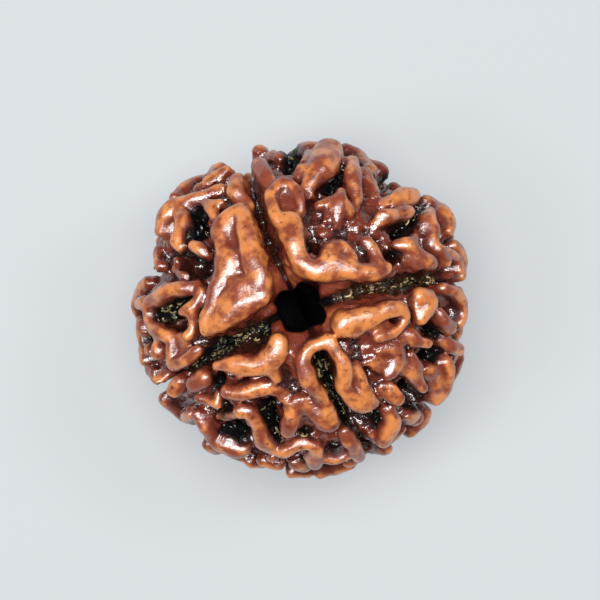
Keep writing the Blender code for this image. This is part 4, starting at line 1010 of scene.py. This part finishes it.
@dataclass(frozen=True)
class OiledWood:
    """The finish of the nut: oiled wood, orange on the crests, red-brown on the walls and nearly black below.
    The darkening with depth is partly the wood's own colour and partly painted shade; darker leaning walls
    and creases and lighter sharp edges are painted shade.

    Attributes:
        crest_light: The crests' palest blotches.
        crest_dark: The crests' darker blotches.
        freckle: The small dark freckles.
        wall: The ridges' sides, their red-brown partly the wood's own and partly painted shade.
        floor: The floor between the ridges, its near-black partly the wood's own and partly painted shade.
        bed: The paler blotches under the residue along the seams.
        pit: The near-black of the pits' dark residue, and of the inside of the bore, where it is painted
            shade.
        roughness: The wood's own roughness under the oil.
        specular: How much the wood itself shines.
        oil_roughness: The oil's roughness on the crests.
        oil_sharper: How much that changes down in the webs, where the oil lies thicker.
        oil_ior: The oil's refractive index, raised above a real oil's to make the gloss stronger.
        oil_lost: How much less oil lies in the pits.
        crinkle: How high the fine crinkles stand, in millimetres.
        crinkle_sizes: How wide the coarser and the finest crinkles are.
        crest_crinkle: The share of the crinkles that the crests have.
        blotch_sizes: How wide the crests' large and small blotches are.
        blotch_fade: Where in that noise the darker blotches end and the palest begin.
        freckle_size: How wide the freckles are.
        freckle_fade: Where in their noise the freckles begin and are full.
        lowering: How much noise, crinkles, bulges and tilt each change the depth that a colour is chosen by;
            the bulges and tilt paint shade, darker in creases and on leaning walls and lighter on sharp
            edges.
        lowering_size: How wide that noise is.
        wall_fade: The depths at which the crests' colour ends and the walls' is full.
        floor_fade: The depths at which the walls' colour ends and the floor's is full.
        bed_size: How wide the blotches along the seams are.
        bed_fade: Where in their noise they begin and are full.
        oil_fade: The depths between which the oil's roughness changes.
        crinkle_fade: The depths between which the crinkles grow to their full height.
    """

    crest_light: tuple[float, float, float] = (0.56, 0.188, 0.048)
    crest_dark: tuple[float, float, float] = (0.2, 0.038, 0.014)
    freckle: tuple[float, float, float] = (0.09, 0.016, 0.007)
    wall: tuple[float, float, float] = (0.14, 0.022, 0.009)
    floor: tuple[float, float, float] = (0.03, 0.005, 0.003)
    bed: tuple[float, float, float] = (0.06, 0.038, 0.013)
    pit: tuple[float, float, float] = (0.003, 0.003, 0.003)
    roughness: float = 0.5
    specular: float = 0.1
    oil_roughness: float = 0.31
    oil_sharper: float = -0.12
    oil_ior: float = 1.85
    oil_lost: float = 0.85
    crinkle: float = 0.08
    crinkle_sizes: tuple[float, float] = (0.38, 0.16)
    crest_crinkle: float = 0.4
    blotch_sizes: tuple[float, float] = (3.2, 0.9)
    blotch_fade: tuple[float, float] = (0.66, 0.94)
    freckle_size: float = 0.4
    freckle_fade: tuple[float, float] = (0.55, 0.82)
    lowering: tuple[float, float, float, float] = (0.7, 0.5, -0.45, 1.1)
    lowering_size: float = 1.6
    wall_fade: tuple[float, float] = (0.3, 1.7)
    floor_fade: tuple[float, float] = (1.8, 3.0)
    bed_size: float = 0.25
    bed_fade: tuple[float, float] = (0.45, 0.65)
    oil_fade: tuple[float, float] = (0.3, 1.1)
    crinkle_fade: tuple[float, float] = (0.3, 1.0)

    def material(self) -> bpy.types.Material:
        """The node material, which reads the skin's own marks."""
        made = Shading("oiled_nut")
        depth, bore, pit = made.attribute("depth"), made.attribute("bore"), made.attribute("pit")
        fine = made.noise(self.crinkle_sizes[0], 2.0)
        large, small = made.noise(self.blotch_sizes[0], 1.0), made.noise(self.blotch_sizes[1], 4.0)
        blotches = made.step(made.sum(large, 0.6, small), *self.blotch_fade)
        freckles = made.step(made.noise(self.freckle_size, 2.0), *self.freckle_fade)
        crest = made.mix(freckles, made.mix(blotches, self.crest_dark, self.crest_light), self.freckle)
        # The colour darkens with depth, partly the wood's own darker hollows and partly painted shade; bulge
        # and tilt add painted shade in creases and on leaning walls, and paint sharp edges lighter.
        lowered = depth
        causes = (made.noise(self.lowering_size, 2.0), fine, made.attribute("bulge"), made.attribute("tilt"))
        for cause, share in zip(causes, self.lowering):
            lowered = made.sum(cause, share, lowered)
        wall = made.mix(made.step(lowered, *self.wall_fade), crest, self.wall)
        floor = made.mix(made.step(lowered, *self.floor_fade), wall, self.floor)
        bed = made.mix(made.step(made.noise(self.bed_size, 2.0), *self.bed_fade), self.floor, self.bed)
        floor = made.mix(made.attribute("seam"), floor, bed)
        # Painted shade: the inside of the bore is coloured near black and loses its shine.
        made.set("Base Color", made.mix(bore, made.mix(pit, floor, self.pit), self.pit))
        made.set("Roughness", self.roughness)
        made.set("Specular IOR Level", made.sum(bore, -self.specular, self.specular))
        made.set("Coat Weight", made.sum(pit, -self.oil_lost, made.sum(bore, -1.0, 1.0)))
        rougher = made.step(depth, *self.oil_fade)
        made.set("Coat Roughness", made.sum(rougher, self.oil_sharper, self.oil_roughness))
        made.set("Coat IOR", self.oil_ior)
        below = made.sum(made.step(depth, *self.crinkle_fade), 1.0 - self.crest_crinkle, self.crest_crinkle)
        crinkles = made.sum(made.noise(self.crinkle_sizes[1], 1.0), 0.35, fine)
        made.bump(made.product(crinkles, below), self.crinkle)
        return made.material


@dataclass(frozen=True)
class DriedResidue:
    """The finish of the dried pulp: each curl dark, olive or straw-coloured.

    Attributes:
        dark: The darkest curls.
        olive: The middling ones.
        straw: The palest ones.
        roughness: How rough they are.
        oil: How much oil covers them.
        oil_roughness: The oil's roughness.
        olive_fade: The tones at which the darkest colour ends and the olive one is full.
        straw_fade: The tones at which the olive colour ends and the palest is full.
    """

    dark: tuple[float, float, float] = (0.008, 0.010, 0.008)
    olive: tuple[float, float, float] = (0.09, 0.075, 0.024)
    straw: tuple[float, float, float] = (0.34, 0.25, 0.10)
    roughness: float = 0.45
    oil: float = 0.5
    oil_roughness: float = 0.2
    olive_fade: tuple[float, float] = (0.45, 0.7)
    straw_fade: tuple[float, float] = (0.7, 0.95)

    def material(self) -> bpy.types.Material:
        """The node material, which reads each curl's own tone."""
        made = Shading("dried_residue")
        tone = made.attribute("tone")
        low = made.mix(made.step(tone, *self.olive_fade), self.dark, self.olive)
        made.set("Base Color", made.mix(made.step(tone, *self.straw_fade), low, self.straw))
        made.set("Roughness", self.roughness)
        made.set("Coat Weight", self.oil)
        made.set("Coat Roughness", self.oil_roughness)
        return made.material


@dataclass(frozen=True)
class PaleFloor:
    """The finish of the plain floor, which glows a little so that shadows on it stay faint.

    Attributes:
        colour: The floor's own colour.
        glow_colour: The colour of its glow.
        glow: The strength of its glow.
        roughness: How rough it is.
        specular: How much it shines.
    """

    colour: tuple[float, float, float] = (0.183, 0.195, 0.202)
    glow_colour: tuple[float, float, float] = (0.92, 0.96, 1.0)
    glow: float = 0.41
    roughness: float = 0.9
    specular: float = 0.1

    def material(self) -> bpy.types.Material:
        """The node material."""
        made = Shading("pale_floor")
        made.set("Base Color", (*self.colour, 1.0))
        made.set("Roughness", self.roughness)
        made.set("Specular IOR Level", self.specular)
        made.set("Emission Color", (*self.glow_colour, 1.0))
        made.set("Emission Strength", self.glow)
        return made.material


@dataclass
class NutSkin:
    """The whole nut as one skin, standing where the CAD solid stands.

    Attributes:
        crest: The ellipsoid that the ridges' tops lie on.
        rest_height: From the middle down to the flat feet.
        voxel: The spacing of the mesh when body and ridges are fused.
        easing_rounds: How often the fused skin is smoothed.
        triangles: How many triangles the finished skin has.
        lump_height: How high its small lumps stand.
        lump_size: About how wide they are.
        crinkle_heights: How high the crinkles stand on the crests, and how much more below them.
        crinkle_size: About how wide they are.
        between_seams: Directions round the axis half way between two seams, in degrees.
        seam_fills: How full of residue the seam before each of them is, from 0 to 1.
        seam_widths: How far that residue reaches to each side of the seam.
        seam_palers: How much less deep each seam's slopes are coloured than they lie.
        paler_width: How far that reaches to each side of a seam.
        collar_paler: How much less deep the slopes round the bore's mouth are coloured than they lie.
        collar_middle: How far from the axis that is strongest.
        collar_width: How far it reaches from there.
        crack_painted_shade: How much deeper a seam's crack is coloured than it lies.
        bore_radius: Where the inside of the bore begins.
        bulge_rounds: How far round a vertex its surroundings go, in edges.
        bulge_height: How far a vertex stands out where its bulge counts as 1.
    """

    crest: Crest
    rest_height: float = 9.3
    voxel: float = 0.11
    quick_voxel: float = 0.2
    easing_rounds: int = 8
    quick_easing: int = 4
    triangles: int = 190000
    lump_height: float = 0.15
    lump_size: float = 1.1
    crinkle_heights: tuple[float, float] = (0.02, 0.14)
    crinkle_size: float = 0.42
    between_seams: tuple[float, ...] = (64.0, 161.0, 249.0, 332.0)
    seam_fills: tuple[float, ...] = (1.0, 0.3, 0.95, 0.8)
    seam_widths: tuple[float, ...] = (0.6, 0.2, 0.45, 0.35)
    seam_palers: tuple[float, ...] = (0.4, 1.6, 0.1, 0.5)
    paler_width: float = 0.8
    collar_paler: float = 0.9
    collar_middle: float = 1.8
    collar_width: float = 1.3
    crack_painted_shade: float = 1.2
    bore_radius: float = 2.5
    bulge_rounds: int = 16
    bulge_height: float = 0.12

    def __post_init__(self) -> None:
        """Starts with the plain body, and with the foot not yet known."""
        self.body = TurnedBody(self.crest)
        self.foot = Vector()

    def build(self) -> bpy.types.Object:
        """Makes the skin and dresses it.

        Returns:
            The object, in metres.
        """
        net = RidgeNet(self.crest)
        bm = bmesh.new()
        bm.from_mesh(self.body.mesh(net.taken()))
        for ridge in net.ridges:
            bm.from_mesh(ridge.mesh())
        skin = new_object("nut_skin", new_mesh("nut_skin", bm))
        self.fuse(skin)
        self.roughen(skin.data)
        self.thin_out(skin)
        self.cut_flat(skin)
        self.mark(skin.data)
        self.foot = self.foot_of(skin.data)
        skin.data.transform(Matrix.Scale(MM, 4) @ Matrix.Translation(-self.foot))
        skin.data.materials.clear()
        skin.data.materials.append(OiledWood().material())
        skin.data.shade_smooth()
        return skin

    def fuse(self, skin: bpy.types.Object) -> None:
        """Makes one skin of the overlapping body and ridges, and eases it."""
        remesh = skin.modifiers.new("one skin", "REMESH")
        remesh.mode = "VOXEL"
        remesh.voxel_size = self.voxel
        easing = skin.modifiers.new("easing", "SMOOTH")
        easing.factor = 0.5
        easing.iterations = self.easing_rounds
        apply_modifiers(skin)
        LOG.info("fused skin: %d faces", len(skin.data.polygons))

    def roughen(self, mesh: bpy.types.Mesh) -> None:
        """Gives the skin its small lumps, and its crinkles below the crests."""
        places, normals = places_of(mesh), normals_of(mesh)
        depth = self.crest.depths(places)
        heights = np.array([self.lump_height * uneven(place, self.lump_size, LUMP_SEED) for place in places])
        across = np.hypot(places[:, 0], places[:, 1])
        on_crest, below = self.crinkle_heights
        crinkle = on_crest + below * smooth_step(depth, 0.4, 1.1) * smooth_step(across, 1.9, 3.2)
        heights += crinkle * np.array([uneven(place, self.crinkle_size, CRINKLE_SEED) for place in places])
        moved = (places + normals * heights[:, None]).astype(np.float32)
        mesh.vertices.foreach_set("co", moved.ravel())
        mesh.update()

    def thin_out(self, skin: bpy.types.Object) -> None:
        """Brings the skin down to its number of triangles, most of them kept where it bends most."""
        count = 2 * len(skin.data.polygons)
        if count <= self.triangles:
            return
        skin.modifiers.new("triangles", "TRIANGULATE")
        thinning = skin.modifiers.new("fewer triangles", "DECIMATE")
        thinning.ratio = self.triangles / count
        apply_modifiers(skin)

    def cut_flat(self, skin: bpy.types.Object) -> None:
        """Cuts the lowest ridges off level, as the small flat feet that the nut rests on."""
        bm = bmesh.new()
        bmesh.ops.create_cube(bm, size=2.0 * self.crest.radius)
        bmesh.ops.translate(bm, verts=bm.verts, vec=(0.0, 0.0, -self.rest_height - self.crest.radius))
        below = new_object("below", new_mesh("below", bm))
        cut = skin.modifiers.new("flat feet", "BOOLEAN")
        cut.operation = "DIFFERENCE"
        cut.object = below
        apply_modifiers(skin)
        bpy.data.objects.remove(below)

    def mark(self, mesh: bpy.types.Mesh) -> None:
        """Writes the attributes that the finish reads."""
        places = places_of(mesh)
        across = np.hypot(places[:, 0], places[:, 1])
        offset = self.body.seam_offsets(places)
        depth = self.crest.depths(places)
        pit = self.body.pit_share(places) * smooth_step(depth, 0.45, 1.0)
        # The bore's inside, which the finish paints near black as shade.
        bore = smooth_step(self.bore_radius - across, 0.0, 0.4) * smooth_step(depth, 2.9, 3.2)
        turn = np.degrees(np.arctan2(places[:, 1], places[:, 0])) % 360.0
        nearest = np.searchsorted(self.between_seams, turn) % 4
        fill, width = np.array(self.seam_fills)[nearest], np.array(self.seam_widths)[nearest]
        seam = fill * np.exp(-((offset / width) ** 2)) * smooth_step(depth, 1.5, 2.6)
        seam *= smooth_step(across, 1.8, 2.6)
        # The depth that colours are chosen by, which paints shade into the hollows: eased round the bore's
        # mouth and on the seams' slopes, and deepened in each seam's crack as painted shade.
        from_collar = (across - self.collar_middle) / self.collar_width
        shade = depth - self.collar_paler * np.exp(-(from_collar**2))
        shade -= np.array(self.seam_palers)[nearest] * np.exp(-((offset / self.paler_width) ** 2))
        crack = np.exp(-((offset / self.body.crack_half_width) ** 2)) * smooth_step(depth, 1.2, 2.0)
        shade += self.crack_painted_shade * crack
        marks = {"depth": shade, "tilt": self.tilts(mesh), "bulge": self.bulges(mesh),
                 "pit": pit, "bore": bore, "seam": seam}
        for name, values in marks.items():
            mesh.attributes.new(name, "FLOAT", "POINT").data.foreach_set("value", values.astype(np.float32))

    def tilts(self, mesh: bpy.types.Mesh) -> np.ndarray:
        """How far each vertex's surface leans from facing straight out, from 0 on a crest to 1 on a wall; the
        finish paints leaning walls darker, as shade.
        """
        out = places_of(mesh) * [1.0, 1.0, (self.crest.radius / self.crest.half_height) ** 2]
        out /= np.linalg.norm(out, axis=1)[:, None]
        return 1.0 - (out * normals_of(mesh)).sum(axis=1)

    def bulges(self, mesh: bpy.types.Mesh) -> np.ndarray:
        """How far each vertex stands out, about 1 on a sharp edge and -1 in a crease; the finish paints
        creases darker and edges lighter, as shade.
        """
        count = len(mesh.vertices)
        ends = np.empty(len(mesh.edges) * 2, np.int32)
        mesh.edges.foreach_get("vertices", ends)
        a, b = ends.reshape(-1, 2).T
        near = np.bincount(a, minlength=count) + np.bincount(b, minlength=count)
        places = places_of(mesh)
        eased = places.copy()
        for _ in range(self.bulge_rounds):
            for axis in range(3):
                total = np.bincount(a, eased[b, axis], count) + np.bincount(b, eased[a, axis], count)
                eased[:, axis] = total / near
        out = ((places - eased) * normals_of(mesh)).sum(axis=1)
        return np.clip(out / self.bulge_height, -1.5, 1.5)

    @staticmethod
    def foot_of(mesh: bpy.types.Mesh) -> Vector:
        """The middle of the underside of a mesh's box."""
        low, high = places_of(mesh).min(axis=0), places_of(mesh).max(axis=0)
        return Vector(((low[0] + high[0]) / 2, (low[1] + high[1]) / 2, low[2]))


@dataclass
class Residue:
    """The dried pulp left in the pits and along the seams: small curls, laid on the skin by seeded draws.

    Attributes:
        skin: The finished skin, whose marks say where it is a pit or a seam.
        curls: How many curls are laid.
        arc_radius: A curl's radius, in millimetres.
        thread_radius: Its thickness.
        sides: How many sides a curl's section has.
        arc_steps: How many steps its arc has.
        turns: How far the different curls turn, in radians.
        sizes: The smallest and largest scale of a curl.
        lean: How much the curls lean out of the surface, in radians.
        seed: The seed of the draws.
        least_pit: How far into a pit the curls begin.
        least_seam: How far into a seam's bed they begin.
        rich: Where the residue is pale, as places in the view and how far round them.
        hidden_height: Below this height above the foot nothing shows from above.
        hidden_richness: How pale the residue is there.
        richness_range: How pale it is away from the rich places, and how much more in them.
        patchiness: How much its tone changes from patch to patch, and how wide those are.
        tone_spread: How much it changes from curl to curl.
    """

    skin: bpy.types.Mesh
    curls: int = 2800
    arc_radius: float = 0.19
    thread_radius: float = 0.05
    sides: int = 5
    arc_steps: int = 6
    turns: tuple[float, ...] = (0.5, 0.7, 1.4, 2.6, 3.8)
    sizes: tuple[float, float] = (0.6, 1.5)
    lean: float = 0.6
    seed: int = 4
    least_pit: float = 0.45
    least_seam: float = 0.3
    rich: tuple[tuple[float, float, float], ...] = (
        (-8.6, -0.2, 1.5), (1.4, -3.6, 1.3), (-2.3, -7.0, 1.2), (-3.4, -1.9, 1.6), (-5.6, -2.8, 1.4),
        (3.0, 0.5, 1.5), (5.2, 1.2, 1.6), (7.8, 1.6, 1.6), (7.4, 5.6, 1.0), (0.2, -8.3, 0.8),
        (2.4, -9.3, 0.8),
    )
    hidden_height: float = 9.0
    hidden_richness: float = 0.6
    richness_range: tuple[float, float] = (0.25, 0.5)
    patchiness: tuple[float, float] = (0.5, 1.6)
    tone_spread: float = 0.4

    def richness(self, place: np.ndarray) -> float:
        """How pale the residue is at a place: richest in the golden pits, and dark elsewhere above."""
        if place[2] < self.hidden_height:
            return self.hidden_richness
        near = 0.0
        for x, y, reach in self.rich:
            near = max(near, math.exp(-((place[0] - x) ** 2 + (place[1] - y) ** 2) / reach**2))
        return self.richness_range[0] + self.richness_range[1] * near

    def template(self, angle: float) -> bpy.types.Mesh:
        """Makes one curl that turns through an angle.

        Args:
            angle: The angle, in radians.

        Returns:
            Its closed mesh, in metres.
        """
        bm = bmesh.new()
        made = bmesh.ops.create_circle(bm, segments=self.sides, radius=self.thread_radius * MM, cap_ends=True)
        bmesh.ops.rotate(bm, verts=made["verts"], matrix=Matrix.Rotation(math.pi / 2, 3, "X"))
        bmesh.ops.translate(bm, verts=made["verts"], vec=(self.arc_radius * MM, 0.0, 0.0))
        geom = made["verts"] + list(bm.edges) + list(bm.faces)
        bmesh.ops.spin(bm, geom=geom, cent=(0, 0, 0), axis=(0, 0, 1), angle=angle, steps=self.arc_steps)
        bmesh.ops.recalc_face_normals(bm, faces=bm.faces)
        return new_mesh("curl", bm)

    def likely(self) -> np.ndarray:
        """How likely each vertex of the skin is to hold a curl."""
        values = {}
        for name in ("pit", "seam", "bore"):
            flat = np.empty(len(self.skin.vertices), np.float32)
            self.skin.attributes[name].data.foreach_get("value", flat)
            values[name] = flat
        pit = np.clip(values["pit"] - self.least_pit, 0.0, 0.5)
        return pit + np.clip(values["seam"] - self.least_seam, 0.0, 0.5) - values["bore"]

    def build(self) -> bpy.types.Object:
        """Lays the curls.

        Returns:
            The object that holds them all.
        """
        draw = random.Random(self.seed)
        templates = [self.template(angle) for angle in self.turns]
        strength, patch_size = self.patchiness
        places, normals = places_of(self.skin), normals_of(self.skin)
        chance = np.clip(self.likely(), 0.0, None)
        total = np.cumsum(chance)
        bm = bmesh.new()
        tones = []
        for _ in range(self.curls):
            i = int(np.searchsorted(total, draw.uniform(0.0, float(total[-1]))))
            tilt = Vector(normals[i]).to_track_quat("Z", "Y").to_matrix().to_4x4()
            turn = Matrix.Rotation(draw.uniform(0.0, 2 * math.pi), 4, "Z")
            lean = Matrix.Rotation(draw.gauss(0.0, self.lean), 4, "X")
            size = Matrix.Scale(draw.uniform(*self.sizes), 4)
            mesh = draw.choice(templates).copy()
            mesh.transform(Matrix.Translation(Vector(places[i])) @ tilt @ turn @ lean @ size)
            bm.from_mesh(mesh)
            place = places[i] / MM
            patch = self.richness(place) + strength * uneven(place, patch_size, TONE_SEED)
            tones += [patch + draw.uniform(-self.tone_spread, self.tone_spread)] * len(mesh.vertices)
            bpy.data.meshes.remove(mesh)
        made = new_object("dried_residue", new_mesh("dried_residue", bm))
        made.data.attributes.new("tone", "FLOAT", "POINT").data.foreach_set("value", tones)
        made.data.materials.append(DriedResidue().material())
        return made


@dataclass
class Studio:
    """The plain floor, the soft light and the camera, which looks straight down the bore.

    Attributes:
        foot: Where the nut's foot was in its own frame, which the view is centred by.
        view_middle: The middle of the picture, in the nut's own frame.
        picture_width: The width that the picture shows at the nut's waist.
        camera_height: From the nut's waist up to the camera.
        waist_height: From the floor up to the nut's waist.
        floor_size: From the floor's middle to its edge.
        lamps: Each lamp's name, place, diameter and power in watts.
        room_colour: The colour of the room's even light.
        room_light: Its strength.
    """

    foot: Vector
    view_middle: tuple[float, float] = (-0.06, 0.45)
    picture_width: float = 38.7
    camera_height: float = 420.0
    waist_height: float = 9.3
    floor_size: float = 900.0
    lamps: tuple[tuple[str, tuple[float, float, float], float, float], ...] = (
        ("key", (-30.0, 40.0, 520.0), 280.0, 3.7),
        ("left", (-230.0, -60.0, 380.0), 140.0, 0.65),
        ("right", (220.0, 120.0, 400.0), 140.0, 0.65),
    )
    room_colour: tuple[float, float, float] = (0.93, 0.97, 1.0)
    room_light: float = 0.045

    def build(self) -> None:
        """Makes the floor, the lights, the world and the camera."""
        self.floor()
        self.camera()
        for lamp in self.lamps:
            self.light(*lamp)
        self.world()

    def floor(self) -> None:
        """Makes the plain pale floor."""
        bm = bmesh.new()
        bmesh.ops.create_grid(bm, x_segments=8, y_segments=8, size=self.floor_size * MM)
        floor = new_object("floor", new_mesh("floor", bm))
        floor.data.materials.append(PaleFloor().material())

    def camera(self) -> None:
        """Points the camera straight down."""
        data = bpy.data.cameras.new("camera")
        data.sensor_width = 36.0
        data.lens = 36.0 * self.camera_height / self.picture_width
        data.clip_start = 0.01
        camera = bpy.data.objects.new("camera", data)
        bpy.context.scene.collection.objects.link(camera)
        x, y = self.view_middle[0] - self.foot.x, self.view_middle[1] - self.foot.y
        camera.location = (x * MM, y * MM, (self.waist_height + self.camera_height) * MM)
        bpy.context.scene.camera = camera

    def light(self, name: str, place: tuple[float, float, float], size: float, power: float) -> None:
        """Adds a round soft light that faces the nut.

        Args:
            name: The light's name.
            place: Where it hangs, in millimetres.
            size: Its diameter, in millimetres.
            power: Its power, in watts.
        """
        data = bpy.data.lights.new(name, "AREA")
        data.shape = "DISK"
        data.size = size * MM
        data.energy = power
        lamp = bpy.data.objects.new(name, data)
        bpy.context.scene.collection.objects.link(lamp)
        lamp.location = Vector(place) * MM
        aim = Vector((0.0, 0.0, self.waist_height * MM)) - lamp.location
        lamp.rotation_euler = aim.to_track_quat("-Z", "Y").to_euler()

    def world(self) -> None:
        """Fills the room with an even pale light."""
        scene = bpy.context.scene
        scene.world = bpy.data.worlds.new("room")
        scene.world.use_nodes = True
        background = scene.world.node_tree.nodes["Background"]
        background.inputs["Color"].default_value = (*self.room_colour, 1.0)
        background.inputs["Strength"].default_value = self.room_light
        scene.view_settings.view_transform = "Standard"


def main() -> None:
    """Builds the nut, the residue and the studio in order."""
    logging.basicConfig(level=logging.INFO, format="%(name)s: %(message)s")
    nut = NutSkin(Crest())
    skin = nut.build()
    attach(skin, BODY)
    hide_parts(NODE)
    residue = Residue(skin.data).build()
    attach(residue, BODY)
    for piece in (skin, residue):
        LOG.info("%s: %d faces", piece.name, len(piece.data.polygons))
    Studio(nut.foot).build()


if __name__ == "__main__":
    main()
